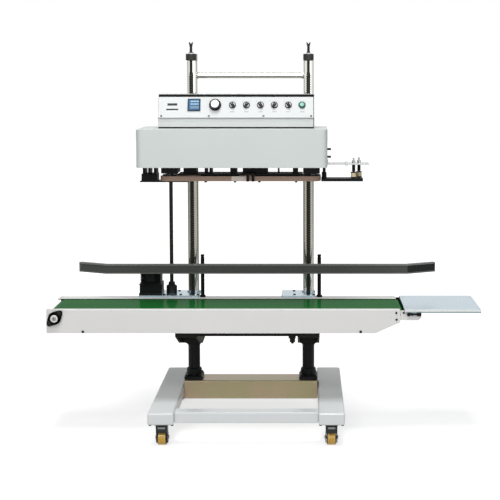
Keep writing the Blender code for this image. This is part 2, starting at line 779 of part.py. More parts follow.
def castor(name, x, y):
    """A swivel fork with its axle, and the wheel that runs on it."""
    swivel = pivot(f"castor_swivel_{name}", (x, y, crown_top()))
    wheel_y = y + CASTOR_TRAIL
    top = crown_top()
    crown = top - FORK_SHEET
    half = FORK_WIDTH / 2
    outline = arc((y, 0.0), FORK_CROWN_RADIUS, 0, 360, 12)[:-1]
    plate = prism([(x + v, u) for u, v in outline], "Z", crown, top)
    pieces = []
    for side in (-1, 1):
        inner = x + side * half
        outer = x + side * (half + FORK_SHEET)
        leg = [(y - FORK_LEG_START, top)]
        leg += arc((wheel_y, WHEEL_RADIUS), FORK_EYE_RADIUS, 200, 340, 3)
        leg += [(y + FORK_LEG_END, top)]
        pieces.append(prism(leg, "X", min(inner, outer), max(inner, outer)))
    reach = half + FORK_SHEET + AXLE_END
    ends = ((x - reach, wheel_y, WHEEL_RADIUS), (x + reach, wheel_y, WHEEL_RADIUS))
    pieces.append(rod(AXLE_RADIUS, *ends, 6))
    fork = fused(plate, *pieces)
    ends = ((x, y, crown - BITE), (x, y, top + BITE))
    fork = cut(fork, hole(KINGPIN_RADIUS + RUN_GAP, *ends, COARSE))
    node(f"castor_fork_{name}", fork, "dark_steel", swivel, (x, y, top))

    spin = pivot(f"castor_axle_{name}", (x, wheel_y, WHEEL_RADIUS), swivel)
    half_wheel = WHEEL_WIDTH / 2
    half_tread = WHEEL_TREAD_WIDTH / 2
    flat = math.pi / FINE
    profile = [
        (WHEEL_SIDE_RADIUS, -half_wheel),
        (WHEEL_RADIUS / math.cos(flat), -half_tread),
        (WHEEL_RADIUS / math.cos(flat), half_tread),
        (WHEEL_SIDE_RADIUS, half_wheel),
    ]
    wheel = turned(profile, (x, wheel_y, WHEEL_RADIUS), "X", FINE, flat)
    ends = ((x - WHEEL_WIDTH, wheel_y, WHEEL_RADIUS), (x + WHEEL_WIDTH, wheel_y, WHEEL_RADIUS))
    wheel = cut(wheel, hole(AXLE_RADIUS + RUN_GAP, *ends, COARSE))
    node(f"castor_wheel_{name}", wheel, "amber_wheel", spin, (x, wheel_y, WHEEL_RADIUS), True)


# Pillars, columns and lift


def pillar(side):
    """Foot, tube and saddle: one welded and machined casting."""
    x = COLUMN_XS[side]
    foot_bottom = REAR_BEAM_TOP + SEAT_GAP
    foot_top = foot_bottom + FOOT_THICKNESS
    half = FOOT_WIDTH / 2
    foot = prism(
        rounded_rectangle(
            (x - half, x + half),
            (COLUMN_Y - FOOT_DEPTH / 2, COLUMN_Y + FOOT_DEPTH / 2),
            FOOT_CORNER,
            2,
        ),
        "Z",
        foot_bottom,
        foot_top,
    )
    collar_top = foot_top + FOOT_COLLAR_HEIGHT
    hub = TUBE_RADIUS + HUB_WALL
    saddle_bottom = SADDLE_TOP - SADDLE_DROP
    stem = turned(
        [
            (FOOT_COLLAR_RADIUS, foot_top - BITE),
            (FOOT_COLLAR_RADIUS, collar_top - FOOT_COLLAR_BREAK),
            (FOOT_COLLAR_RADIUS - FOOT_COLLAR_BREAK, collar_top),
            (TUBE_RADIUS, collar_top),
            (TUBE_RADIUS, SADDLE_TOP - SADDLE_FLANGE),
        ],
        (x, COLUMN_Y, 0.0),
        facets=MEDIUM,
    )
    bolts = []
    bolt_x = half - FOOT_BOLT_INSET
    bolt_y = FOOT_DEPTH / 2 - FOOT_BOLT_INSET
    bolt_level = (foot_top - BITE, foot_top + FOOT_BOLT_HEIGHT)
    for sx in (-1, 1):
        for sy in (-1, 1):
            place = (x + sx * bolt_x, COLUMN_Y + sy * bolt_y)
            ends = [(*place, level) for level in bolt_level]
            bolts.append(rod(FOOT_BOLT_RADIUS, *ends, 6))

    # The saddle is the shape that its side outline and its front outline share.
    front_y = CONVEYOR_FRONT_Y + SADDLE_FRONT_OVERHANG
    back_y = COLUMN_Y + hub
    knee_y = front_y + (COLUMN_Y - front_y) * SADDLE_KNEE_REACH
    side_outline = [
        (back_y, SADDLE_TOP),
        (front_y, SADDLE_TOP),
        (front_y, SADDLE_TOP - 2 * SADDLE_FLANGE),
        (knee_y, SADDLE_TOP - SADDLE_DROP * SADDLE_KNEE_DROP),
        (COLUMN_Y - hub, saddle_bottom + SADDLE_TOE),
        (COLUMN_Y - TUBE_RADIUS / 2, saddle_bottom),
        (COLUMN_Y + TUBE_RADIUS / 2, saddle_bottom),
        (back_y, saddle_bottom + SADDLE_HEEL),
    ]
    wide = SADDLE_WIDTH / 2
    low = saddle_bottom - BITE
    narrow = TUBE_RADIUS + SADDLE_SIDE
    cup = arc((x + narrow, saddle_bottom + wide - narrow + SADDLE_CUP_RISE), wide - narrow, -90, 0, 2)
    front_outline = [(x - narrow, low), (x + narrow, low)]
    front_outline += cup
    front_outline += [(x + wide, SADDLE_TOP + BITE), (x - wide, SADDLE_TOP + BITE)]
    front_outline += [(2 * x - u, v) for u, v in reversed(cup)]
    saddle = common(
        prism(side_outline, "X", x - wide - BITE, x + wide + BITE),
        prism(front_outline, "Y", front_y - BITE, back_y + BITE),
    )
    body = fused(foot, stem, *bolts, saddle)

    # Pocket for the sprocket and the chain, open underneath and towards the other pillar.
    wall = POCKET_WALL
    reach = CHAIN_PITCH_RADIUS + CHAIN_PLATE_HEIGHT / 2 + CHAIN_CLEARANCE
    pocket_back = COLUMN_Y - TUBE_RADIUS - BITE
    pocket_front = min(SCREW_Y - reach, pocket_back - POCKET_WALL)
    ceiling = SADDLE_TOP - SADDLE_FLANGE
    pocket = block(
        (x - wide + wall, x + wide - wall),
        (pocket_front, pocket_back),
        (saddle_bottom - OVERCUT, ceiling),
    )
    lighten = block(
        (x - wide + wall, x + wide - wall),
        (front_y + wall, pocket_front - wall),
        (saddle_bottom - OVERCUT, ceiling),
    )
    toward = 1 if side == "left" else -1
    window = (x, x + toward * (wide + BITE))
    chain_window = block(
        (min(window), max(window)),
        (SCREW_Y - reach, SCREW_Y + reach),
        (CHAIN_Z - CHAIN_WIDTH / 2 - CHAIN_CLEARANCE, CHAIN_Z + CHAIN_WIDTH / 2 + CHAIN_CLEARANCE),
    )
    floor = SADDLE_TOP - SOCKET_DEPTH
    socket = hole(
        COLUMN_RADIUS + SEAT_GAP, (x, COLUMN_Y, floor), (x, COLUMN_Y, SADDLE_TOP + BITE), FINE
    )
    bore = hole(
        SCREW_RADIUS + RUN_GAP,
        (x, SCREW_Y, ceiling - BITE),
        (x, SCREW_Y, SADDLE_TOP + BITE),
        MEDIUM,
    )
    node(f"pillar_{side}", cut(body, pocket, lighten, chain_window, socket, bore), "black_enamel")


def column(side):
    """A chromed column from its socket to the top block."""
    x = COLUMN_XS[side]
    bottom = SADDLE_TOP - SOCKET_DEPTH + SEAT_GAP
    profile = [
        (COLUMN_RADIUS - EDGE_BREAK, bottom),
        (COLUMN_RADIUS, bottom + EDGE_BREAK),
        (COLUMN_RADIUS, COLUMN_TOP - EDGE_BREAK),
        (COLUMN_RADIUS - EDGE_BREAK, COLUMN_TOP),
    ]
    body = turned(profile, (x, COLUMN_Y, 0.0), facets=FINE)
    node(f"column_{side}", body, "chrome", smooth=True)


def top_block(side):
    """The cap of a column, which holds the top journal of its lift screw."""
    x = COLUMN_XS[side]
    bottom = COLUMN_TOP + SEAT_GAP
    half = TOP_BLOCK_WIDTH / 2
    outline = arc((x, COLUMN_Y), half, 0, 180, 8)
    outline += arc((x, SCREW_Y), half, 180, 360, 8)
    body = prism(outline, "Z", bottom, bottom + TOP_BLOCK_HEIGHT)
    top = bottom + TOP_BLOCK_HEIGHT
    bolt = rod(TOP_BOLT_RADIUS, (x, COLUMN_Y, top - BITE), (x, COLUMN_Y, top + TOP_BOLT_HEIGHT), 6)
    journal = hole(
        JOURNAL_RADIUS + RUN_GAP, (x, SCREW_Y, bottom - OVERCUT), (x, SCREW_Y, top + OVERCUT), MEDIUM
    )
    node(f"top_collar_{side}", cut(fused(body, bolt), journal), "zinc_steel")


def tie_tube():
    """The chromed tube that ties the columns together, saddle-cut at its ends."""
    z = COLUMN_TOP - TIE_TUBE_BELOW_TOP
    ends = [(COLUMN_XS[side], COLUMN_Y, z) for side in ("left", "right")]
    tube = rod(TIE_TUBE_RADIUS, *ends, FINE)
    reach = 2 * TIE_TUBE_RADIUS
    cutters = [
        hole(COLUMN_RADIUS + SEAT_GAP, (x, y, z - reach), (x, y, z + reach), FINE)
        for x, y, z in ends
    ]
    node("cross_tube", cut(tube, *cutters), "chrome", smooth=True)


def sprocket_outline(x, y):
    """A toothed wheel that stays inside the chain's links."""
    outer = CHAIN_PITCH_RADIUS - CHAIN_PLATE_HEIGHT / 2 - SEAT_GAP
    root = outer - SPROCKET_TOOTH
    corners = (
        (-TOOTH_ROOT_SHARE, root),
        (-TOOTH_TIP_SHARE, outer),
        (TOOTH_TIP_SHARE, outer),
        (TOOTH_ROOT_SHARE, root),
    )
    outline = []
    for tooth in range(SPROCKET_TEETH):
        for share, radius in corners:
            angle = 2 * math.pi * (tooth + share) / SPROCKET_TEETH
            outline.append((x + radius * math.cos(angle), y + radius * math.sin(angle)))
    return outline


def lead_screw(side):
    """A lift screw with its sprocket, thrust collar, journal and crank end."""
    x = COLUMN_XS[side]
    block_top = COLUMN_TOP + SEAT_GAP + TOP_BLOCK_HEIGHT
    shoulder = COLUMN_TOP - SHOULDER_BELOW_TOP
    collar = SCREW_RADIUS + SCREW_COLLAR
    crank_top = block_top + CRANK_END_HEIGHT
    profile = [
        (SCREW_RADIUS, CHAIN_Z - CHAIN_WIDTH / 2 - RIVET_HEAD),
        (SCREW_RADIUS, SADDLE_TOP + SEAT_GAP),
        (collar, SADDLE_TOP + SEAT_GAP),
        (collar, SADDLE_TOP + SCREW_COLLAR_HEIGHT),
        (SCREW_RADIUS, SADDLE_TOP + SCREW_COLLAR_HEIGHT),
        (SCREW_RADIUS, shoulder),
        (JOURNAL_RADIUS, shoulder + SHOULDER_TAPER),
        (JOURNAL_RADIUS, block_top + SEAT_GAP),
        (JOURNAL_RADIUS + CRANK_COLLAR, block_top + SEAT_GAP),
        (JOURNAL_RADIUS, block_top + CRANK_COLLAR_HEIGHT),
        (JOURNAL_RADIUS - CRANK_NECK, crank_top - CRANK_HEAD_HEIGHT),
        (JOURNAL_RADIUS + CRANK_HEAD_FLARE, crank_top),
    ]
    screw = turned(profile, (x, SCREW_Y, 0.0), facets=10)
    thick = (CHAIN_Z - CHAIN_WIDTH / 2 + SPROCKET_INSET, CHAIN_Z + CHAIN_WIDTH / 2 - SPROCKET_INSET)
    wheel = prism(sprocket_outline(x, SCREW_Y), "Z", *thick)
    slot = block(
        (x - CRANK_SLOT_WIDTH / 2, x + CRANK_SLOT_WIDTH / 2),
        (SCREW_Y - OVERCUT, SCREW_Y + OVERCUT),
        (crank_top - CRANK_SLOT_DEPTH, crank_top + BITE),
    )
    body = cut(fused(screw, wheel), slot)
    spin = pivot(f"lift_axis_{side}", (x, SCREW_Y, CHAIN_Z))
    node(f"lead_screw_{side}", body, "dark_steel", spin, (x, SCREW_Y, CHAIN_Z), True)


def lift_chain():
    """The roller chain that makes both lift screws turn together."""
    level = (CHAIN_Z - CHAIN_WIDTH / 2, CHAIN_Z + CHAIN_WIDTH / 2)
    half = CHAIN_PLATE_HEIGHT / 2
    left = (COLUMN_XS["left"], SCREW_Y)
    right = (COLUMN_XS["right"], SCREW_Y)
    outlines = [
        belt_outline(left, radius, right, radius, WRAP_STEPS)
        for radius in (CHAIN_PITCH_RADIUS + half, CHAIN_PITCH_RADIUS - half)
    ]
    solid = cut(
        prism(outlines[0], "Z", *level),
        prism(outlines[1], "Z", level[0] - BITE, level[1] + BITE),
    )
    node("lift_chain", solid, "dark_steel")


# Conveyor


def conveyor_frame():
    """Two folded side panels joined by the slider bed, with the sloped infeed nose."""
    left = CONVEYOR_LEFT
    right = CONVEYOR_RIGHT
    side = [
        (left, CONVEYOR_BOTTOM),
        (right - NOSE_LENGTH, CONVEYOR_BOTTOM),
        (right, CONVEYOR_BOTTOM + NOSE_RISE),
        (right, CONVEYOR_TOP),
        (left, CONVEYOR_TOP),
    ]
    front_panel = prism(side, "Y", CONVEYOR_FRONT_Y, CONVEYOR_FRONT_Y + PANEL_SHEET)
    back_panel = prism(side, "Y", CONVEYOR_BACK_Y - PANEL_SHEET, CONVEYOR_BACK_Y)
    flange_level = (CONVEYOR_TOP - PANEL_SHEET, CONVEYOR_TOP)
    front_flange = block(
        (left, right), (CONVEYOR_FRONT_Y, CONVEYOR_FRONT_Y + FRONT_FLANGE), flange_level
    )
    back_flange = block((left, right), (BELT_BACK_Y + RUN_GAP, CONVEYOR_BACK_Y), flange_level)
    straight = (left, right - NOSE_LENGTH)
    foot_level = (CONVEYOR_BOTTOM, CONVEYOR_BOTTOM + PANEL_SHEET)
    front_foot = block(
        straight, (CONVEYOR_FRONT_Y, CONVEYOR_FRONT_Y + 2 * FRONT_FLANGE), foot_level
    )
    back_foot = block(
        straight, (CONVEYOR_BACK_Y - 2 * FRONT_FLANGE, CONVEYOR_BACK_Y), foot_level
    )
    bed_top = ROLLER_TOP - SEAT_GAP
    bed = block(
        (
            DRIVE_ROLLER_X + DRIVE_ROLLER_RADIUS + BED_CLEARANCE,
            TAIL_ROLLER_X - TAIL_ROLLER_RADIUS - BED_CLEARANCE,
        ),
        (CONVEYOR_FRONT_Y + PANEL_SHEET / 2, CONVEYOR_BACK_Y - PANEL_SHEET / 2),
        (bed_top - BED_THICKNESS, bed_top),
    )
    return_clear = DRIVE_ROLLER_Z - DRIVE_ROLLER_RADIUS - BELT_THICKNESS
    ties = []
    for name in COLUMN_XS:
        x = COLUMN_XS[name]
        ties.append(
            block(
                (x - TIE_WIDTH / 2, x + TIE_WIDTH / 2),
                (CONVEYOR_FRONT_Y + PANEL_SHEET / 2, CONVEYOR_BACK_Y - PANEL_SHEET / 2),
                (CONVEYOR_BOTTOM, min(CONVEYOR_BOTTOM + TIE_HEIGHT, return_clear - TIE_CLEARANCE)),
            )
        )
    frame = fused(
        front_panel, back_panel, front_flange, back_flange, front_foot, back_foot, bed, *ties
    )
    axle = hole(
        DRIVE_AXLE_RADIUS + RUN_GAP,
        (DRIVE_ROLLER_X, CONVEYOR_FRONT_Y - OVERCUT, DRIVE_ROLLER_Z),
        (DRIVE_ROLLER_X, CONVEYOR_BACK_Y + OVERCUT, DRIVE_ROLLER_Z),
        MEDIUM,
    )
    node("conveyor_frame", cut(frame, axle), "panel_grey")


def conveyor_belt():
    """The flat belt: one endless strip round the two rollers."""
    left = (DRIVE_ROLLER_X, DRIVE_ROLLER_Z)
    right = (TAIL_ROLLER_X, TAIL_ROLLER_Z)
    inside = SEAT_GAP
    outside = BELT_THICKNESS
    outer = belt_outline(
        left, DRIVE_ROLLER_RADIUS + outside, right, TAIL_ROLLER_RADIUS + outside, WRAP_STEPS
    )
    inner = belt_outline(
        left, DRIVE_ROLLER_RADIUS + inside, right, TAIL_ROLLER_RADIUS + inside, WRAP_STEPS
    )
    belt = cut(
        prism(outer, "Y", BELT_FRONT_Y, BELT_BACK_Y),
        prism(inner, "Y", BELT_FRONT_Y - OVERCUT, BELT_BACK_Y + OVERCUT),
    )
    node("conveyor_belt", belt, "belt_green", smooth=True)


def bearing_face_y():
    """Front of the flanged bearing's housing."""
    return CONVEYOR_FRONT_Y - SEAT_GAP - BEARING_THICKNESS


def rollers():
    """The drive and tail rollers, each with its axle."""
    shrink = math.cos(math.pi / MEDIUM)
    body_front = BELT_FRONT_Y + ROLLER_END_GAP
    body_back = BELT_BACK_Y - ROLLER_END_GAP
    front = bearing_face_y() - AXLE_PROUD
    back = CONVEYOR_BACK_Y - BITE
    z = DRIVE_ROLLER_Z
    profile = [
        (DRIVE_AXLE_RADIUS * shrink, front),
        (DRIVE_AXLE_RADIUS * shrink, body_front),
        (DRIVE_ROLLER_RADIUS, body_front),
        (DRIVE_ROLLER_RADIUS, body_back),
        (DRIVE_AXLE_RADIUS * shrink, body_back),
        (DRIVE_AXLE_RADIUS * shrink, back),
    ]
    drum = turned(profile, (DRIVE_ROLLER_X, 0.0, z), "Y", MEDIUM)
    spin = pivot("drive_roller_axis", (DRIVE_ROLLER_X, 0.0, z))
    node("drive_roller", drum, "zinc_steel", spin, (DRIVE_ROLLER_X, 0.0, z), True)

    front = CONVEYOR_FRONT_Y + PANEL_SHEET + SEAT_GAP + BITE
    back = CONVEYOR_BACK_Y - PANEL_SHEET - SEAT_GAP - BITE
    z = TAIL_ROLLER_Z
    profile = [
        (TAIL_AXLE_RADIUS * shrink, front),
        (TAIL_AXLE_RADIUS * shrink, body_front),
        (TAIL_ROLLER_RADIUS, body_front),
        (TAIL_ROLLER_RADIUS, body_back),
        (TAIL_AXLE_RADIUS * shrink, body_back),
        (TAIL_AXLE_RADIUS * shrink, back),
    ]
    drum = turned(profile, (TAIL_ROLLER_X, 0.0, z), "Y", MEDIUM)
    spin = pivot("tail_roller_axis", (TAIL_ROLLER_X, 0.0, z))
    node("tail_roller", drum, "zinc_steel", spin, (TAIL_ROLLER_X, 0.0, z), True)


def flange_bearing():
    """The oval two-bolt bearing of the drive roller, on the front panel."""
    back = CONVEYOR_FRONT_Y - SEAT_GAP
    front = bearing_face_y()
    middle = BEARING_HEIGHT / 2
    reach = BEARING_LENGTH / 2
    lobe = BEARING_LOBE_RADIUS
    top = arc((0.0, 0.0), middle, 70, 110, 3)
    bottom = arc((0.0, 0.0), middle, 250, 290, 3)
    right_lobe = arc((reach - lobe, 0.0), lobe, -60, 60, 5)
    left_lobe = arc((lobe - reach, 0.0), lobe, 120, 240, 5)
    oval = bottom + right_lobe + top + left_lobe
    housing = prism(oval, "Y", front, back)
    boss = rod(BEARING_BOSS_RADIUS, (0, front - BEARING_BOSS_RISE, 0), (0, back - BITE, 0), MEDIUM)
    ring = rod(BEARING_RING_RADIUS, (0, front - BEARING_RING_RISE, 0), (0, front, 0), 12)
    bolts = []
    for sign in (-1, 1):
        x = sign * (reach - lobe)
        bolts.append(rod(BEARING_BOLT_RADIUS, (x, front - BEARING_BOLT_RISE, 0), (x, back - BITE, 0), 6))
    body = fused(housing, boss, ring, *bolts)
    ends = ((0, front - 2 * OVERCUT, 0), (0, back + OVERCUT, 0))
    bore = hole(DRIVE_AXLE_RADIUS + SEAT_GAP, *ends, MEDIUM)
    tilt = Matrix.Rotation(math.radians(BEARING_TILT), 4, "Y")
    place = Matrix.Translation((DRIVE_ROLLER_X, 0.0, DRIVE_ROLLER_Z))
    node("flange_bearing", placed(cut(body, bore), place @ tilt), "zinc_steel")


def cheek_limits():
    """Inner faces of the conveyor's panels, where the tail bracket's cheeks sit."""
    return (
        CONVEYOR_FRONT_Y + PANEL_SHEET + SEAT_GAP,
        CONVEYOR_BACK_Y - PANEL_SHEET - SEAT_GAP,
    )


def tail_bracket():
    """Two cheeks joined by a cross plate: it holds the tail roller and the infeed plate."""
    front, back = cheek_limits()
    top = CONVEYOR_TOP - PANEL_SHEET - SEAT_GAP
    low = CONVEYOR_TOP - CHEEK_HEIGHT
    x0 = CONVEYOR_RIGHT - CHEEK_OVERLAP
    x1 = CONVEYOR_RIGHT + CHEEK_REACH
    outline = [
        (x0, low + CHEEK_HEEL),
        (x0 + CHEEK_HEEL, low),
        (x1 - CHEEK_TOE, low),
        (x1, low + CHEEK_TOE),
        (x1, top),
        (x0, top),
    ]
    cheeks = [
        prism(outline, "Y", front, front + CHEEK_THICKNESS),
        prism(outline, "Y", back - CHEEK_THICKNESS, back),
    ]
    plate_start = CONVEYOR_RIGHT + INFEED_GAP + INFEED_SHEET + CHEEK_PLATE_GAP
    cross = block((plate_start, x1), (front, back), (top - CHEEK_CROSS, top))
    bolts = []
    for y, inward in ((front, 1), (back, -1)):
        head = y + inward * (CHEEK_THICKNESS + TAKE_UP_DEPTH)
        bolts.append(
            block(
                (x1 - TAKE_UP_BOLT, x1),
                (min(y, head), max(y, head)),
                (TAIL_ROLLER_Z - TAKE_UP_BOLT / 2, TAIL_ROLLER_Z + TAKE_UP_BOLT / 2),
            )
        )
    body = fused(cheeks[0], cross, cheeks[1], *bolts)
    axle = hole(
        TAIL_AXLE_RADIUS + SEAT_GAP,
        (TAIL_ROLLER_X, front - OVERCUT, TAIL_ROLLER_Z),
        (TAIL_ROLLER_X, back + OVERCUT, TAIL_ROLLER_Z),
        MEDIUM,
    )
    node("tail_bracket", cut(body, axle), "panel_grey")


def extension_plate():
    """The folded infeed plate, level with the conveyor's top."""
    x0 = CONVEYOR_RIGHT + INFEED_GAP
    x1 = x0 + INFEED_LENGTH
    y0 = CONVEYOR_FRONT_Y
    y1 = y0 + INFEED_DEPTH
    z1 = CONVEYOR_TOP
    z0 = z1 - INFEED_LIP
    tray = block((x0, x1), (y0, y1), (z0, z1))
    inner_x0 = CONVEYOR_RIGHT + INFEED_GAP - OVERCUT
    hollow = block(
        (inner_x0, x1 - INFEED_SHEET),
        (y0 + INFEED_SHEET, y1 - INFEED_SHEET),
        (z0 - OVERCUT, z1 - INFEED_SHEET),
    )
    front, back = cheek_limits()
    reach = CONVEYOR_RIGHT + CHEEK_REACH
    pads = []
    for y in (front + PAD_SIDE, back - PAD_SIDE):
        pads.append(
            block(
                (reach - PAD_INSET - PAD_SIDE, reach - PAD_INSET),
                (y - PAD_SIDE / 2, y + PAD_SIDE / 2),
                (z1 - PANEL_SHEET, z1 - INFEED_SHEET / 2),
            )
        )
    node("extension_plate", fused(cut(tray, hollow), *pads), "brushed_steel")


# Deck plates, motor and drive shaft


def deck_plate(side, length):
    """A plate behind the belt that ties a column to the conveyor."""
    x = COLUMN_XS[side]
    x1 = x + DECK_EDGE
    x0 = x1 - length
    y0 = CONVEYOR_BACK_Y - DECK_LAP
    y1 = y0 + DECK_DEPTH
    outline = rounded_rectangle((x0, x1), (y0, y1), DECK_CORNER, 2)
    plate = prism(outline, "Z", DECK_BOTTOM, DECK_TOP)
    low, high = DECK_BOTTOM - OVERCUT, DECK_TOP + OVERCUT
    cutters = [
        hole(COLUMN_RADIUS + SEAT_GAP, (x, COLUMN_Y, low), (x, COLUMN_Y, high), FINE),
        hole(SCREW_RADIUS + DECK_SCREW_CLEARANCE, (x, SCREW_Y, low), (x, SCREW_Y, high), MEDIUM),
    ]
    bodies = []
    if side == "left":
        housing = SHAFT_HOUSING_RADIUS
        top = DECK_TOP + SHAFT_HOUSING_HEIGHT
        bodies.append(
            turned(
                [
                    (housing, DECK_TOP - BITE),
                    (housing, top - SHAFT_HOUSING_BREAK),
                    (housing - SHAFT_HOUSING_BREAK, top),
                ],
                (SHAFT_X, SHAFT_Y, 0.0),
                facets=MEDIUM,
            )
        )
        cutters.append(
            hole(SHAFT_RADIUS + RUN_GAP, (SHAFT_X, SHAFT_Y, low), (SHAFT_X, SHAFT_Y, top + OVERCUT))
        )
    node(f"deck_plate_{side}", cut(fused(plate, *bodies), *cutters), "brushed_steel")


def drive_motor():
    """The square geared motor that stands on the left deck plate."""
    centre_x = MOTOR_X
    centre_y = CONVEYOR_BACK_Y - DECK_LAP + DECK_DEPTH / 2
    half = MOTOR_WIDTH / 2
    bottom = DECK_TOP + SEAT_GAP
    gear_top = bottom + MOTOR_HEIGHT * GEAR_CASE_SHARE
    top = bottom + MOTOR_HEIGHT
    inset = STATOR_INSET
    gear_case = block(
        (centre_x - half, centre_x + half),
        (centre_y - half, centre_y + half),
        (bottom, gear_top),
        GEAR_CASE_ROUNDING,
    )
    outline = rounded_rectangle(
        (centre_x - half + inset, centre_x + half - inset),
        (centre_y - half + inset, centre_y + half - inset),
        STATOR_CORNER,
        3,
    )
    stator = prism(outline, "Z", gear_top - BITE, top - END_BELL_HEIGHT + BITE)
    end_bell = turned(
        [
            (half - inset, top - END_BELL_HEIGHT),
            (half - inset - EDGE_BREAK, top - END_BELL_CROWN),
            (half - END_BELL_TOP_INSET, top),
        ],
        (centre_x, centre_y, 0.0),
        facets=FINE,
    )
    terminal_y = centre_y - half
    terminal = block(
        (centre_x - TERMINAL_WIDTH / 2, centre_x + TERMINAL_WIDTH / 2),
        (terminal_y - TERMINAL_PROUD, terminal_y + inset + EDGE_BREAK),
        (gear_top + TERMINAL_MARGIN, top - END_BELL_HEIGHT),
        EDGE_BREAK,
    )
    node("drive_motor", fused(gear_case, stator, end_bell, terminal), "black_enamel")


def drive_shaft():
    """The upright shaft that carries the drive to the head at any height."""
    bottom = DECK_BOTTOM
    shrink = math.cos(math.pi / MEDIUM)
    flange = SHAFT_RADIUS + SHAFT_FLANGE
    seat = DECK_TOP + SHAFT_HOUSING_HEIGHT + SEAT_GAP
    profile = [
        (SHAFT_RADIUS * shrink, bottom),
        (SHAFT_RADIUS * shrink, seat),
        (flange, seat),
        (flange, seat + SHAFT_FLANGE_HEIGHT),
        (SHAFT_RADIUS * shrink, seat + SHAFT_FLANGE_HEIGHT),
        (SHAFT_RADIUS * shrink, SHAFT_TOP - EDGE_BREAK),
        (SHAFT_RADIUS * shrink - EDGE_BREAK, SHAFT_TOP),
    ]
    shaft = turned(profile, (SHAFT_X, SHAFT_Y, 0.0), facets=MEDIUM)
    spin = pivot("drive_shaft_axis", (SHAFT_X, SHAFT_Y, 0.0))
    node("drive_shaft", shaft, "dark_steel", spin, (SHAFT_X, SHAFT_Y, 0.0), True)


# Guide rail


def rail_post(side):
    """An upright post for the guide rail, standing on the conveyor's back flange."""
    x = COLUMN_XS[side] + POST_TO_COLUMN
    bottom = CONVEYOR_TOP + SEAT_GAP
    top = bottom + POST_HEIGHT
    profile = [
        (POST_RADIUS + POST_FOOT, bottom),
        (POST_RADIUS + POST_FOOT, bottom + POST_FOOT_HEIGHT),
        (POST_RADIUS, bottom + POST_FOOT_HEIGHT + POST_FOOT_BREAK),
        (POST_RADIUS, top - EDGE_BREAK),
        (POST_RADIUS - EDGE_BREAK, top),
    ]
    body = turned(profile, (x, POST_Y, 0.0), facets=MEDIUM)
    node(f"rail_post_{side}", body, "dark_steel", smooth=True)


def swept_level(section, path):
    """A section of (depth, height) points carried along a level path with mitred bends."""
    shape = bmesh.new()
    rings = []
    for index, point in enumerate(path):
        before = Vector(path[max(index - 1, 0)])
        after = Vector(path[min(index + 1, len(path) - 1)])
        here = Vector(point)
        first = (here - before).normalized() if index else (after - here).normalized()
        last = (after - here).normalized() if index < len(path) - 1 else first
        tangent = (first + last).normalized()
        side = Vector((-tangent.y, tangent.x)) / max(tangent.dot(first), SHARPEST_MITRE)
        ring = [shape.verts.new((*(here + side * depth), height)) for depth, height in section]
        rings.append(ring)
    count = len(section)
    for lower, upper in zip(rings, rings[1:]):
        for step in range(count):
            after = (step + 1) % count
            shape.faces.new((lower[step], lower[after], upper[after], upper[step]))
    shape.faces.new(rings[0])
    shape.faces.new(rings[-1])
    return mesh_object(shape)


def guide_rail():
    """The channel that steadies the bags, with its two post clamps."""
    web_y = POST_Y - RAIL_TO_POST
    bend = math.radians(RAIL_BENT_ANGLE)
    back = RAIL_BENT_REACH * math.tan(bend)
    right = RAIL_LEFT_X + RAIL_STRAIGHT
    path = [
        (RAIL_LEFT_X - RAIL_BENT_REACH, web_y + back),
        (RAIL_LEFT_X, web_y),
        (right, web_y),
        (right + RAIL_BENT_REACH, web_y + back),
    ]
    z0, z1 = RAIL_BOTTOM, RAIL_BOTTOM + RAIL_HEIGHT
    sheet = RAIL_SHEET
    section = [
        (0.0, z0),
        (RAIL_DEPTH, z0),
        (RAIL_DEPTH, z0 + sheet),
        (sheet, z0 + sheet),
        (sheet, z1 - sheet),
        (RAIL_DEPTH, z1 - sheet),
        (RAIL_DEPTH, z1),
        (0.0, z1),
    ]
    rail = swept_level(section, path)
    middle = (z0 + z1) / 2
    clamps = []
    bores = []
    for side in ("left", "right"):
        x = COLUMN_XS[side] + POST_TO_COLUMN
        clamp = block(
            (x - CLAMP_WIDTH / 2, x + CLAMP_WIDTH / 2),
            (web_y + sheet / 2, POST_Y + POST_RADIUS + CLAMP_WALL),
            (middle - CLAMP_HEIGHT / 2, middle + CLAMP_HEIGHT / 2),
            EDGE_BREAK,
        )
        clamps.append(clamp)
        bores.append(
            hole(POST_RADIUS + SEAT_GAP, (x, POST_Y, z0 - OVERCUT), (x, POST_Y, z1 + OVERCUT), MEDIUM)
        )
    body = cut(fused(rail, *clamps), *bores)
    slide = pivot("rail_slide_axis", (0.0, POST_Y, middle))
    node("guide_rail", body, "rail_grey", slide, (0.0, POST_Y, middle))


# Sealing head


def head_cover(head):
    """The folded cover: top, front and two sides, open underneath and at the back."""
    back = CARRIAGE_FRONT_Y - SEAT_GAP
    sheet = COVER_SHEET

    def footprint(inset, back_y):
        x0, x1 = HEAD_LEFT + inset, HEAD_RIGHT - inset
        y0 = HEAD_FRONT_Y + inset
        radius = COVER_CORNER - inset
        outline = arc((x0 + radius, y0 + radius), radius, 180, 270, 4)
        outline += arc((x1 - radius, y0 + radius), radius, 270, 360, 4)
        return outline + [(x1, back_y), (x0, back_y)]

    shell = prism(footprint(0.0, back), "Z", HEAD_BOTTOM, HEAD_TOP)
    hollow = prism(footprint(sheet, back + OVERCUT), "Z", HEAD_BOTTOM - OVERCUT, HEAD_TOP - sheet)
    cover = cut(shell, hollow)
    screws = []
    for level in COVER_SCREW_LEVELS:
        z = HEAD_BOTTOM + level
        ends = ((HEAD_RIGHT - BITE, NIP_Y, z), (HEAD_RIGHT + COVER_SCREW_REACH, NIP_Y, z))
        screws.append(rod(COVER_SCREW_RADIUS, *ends, COARSE))
    node("head_cover", fused(cover, *screws), "painted_grey", head, head.location)


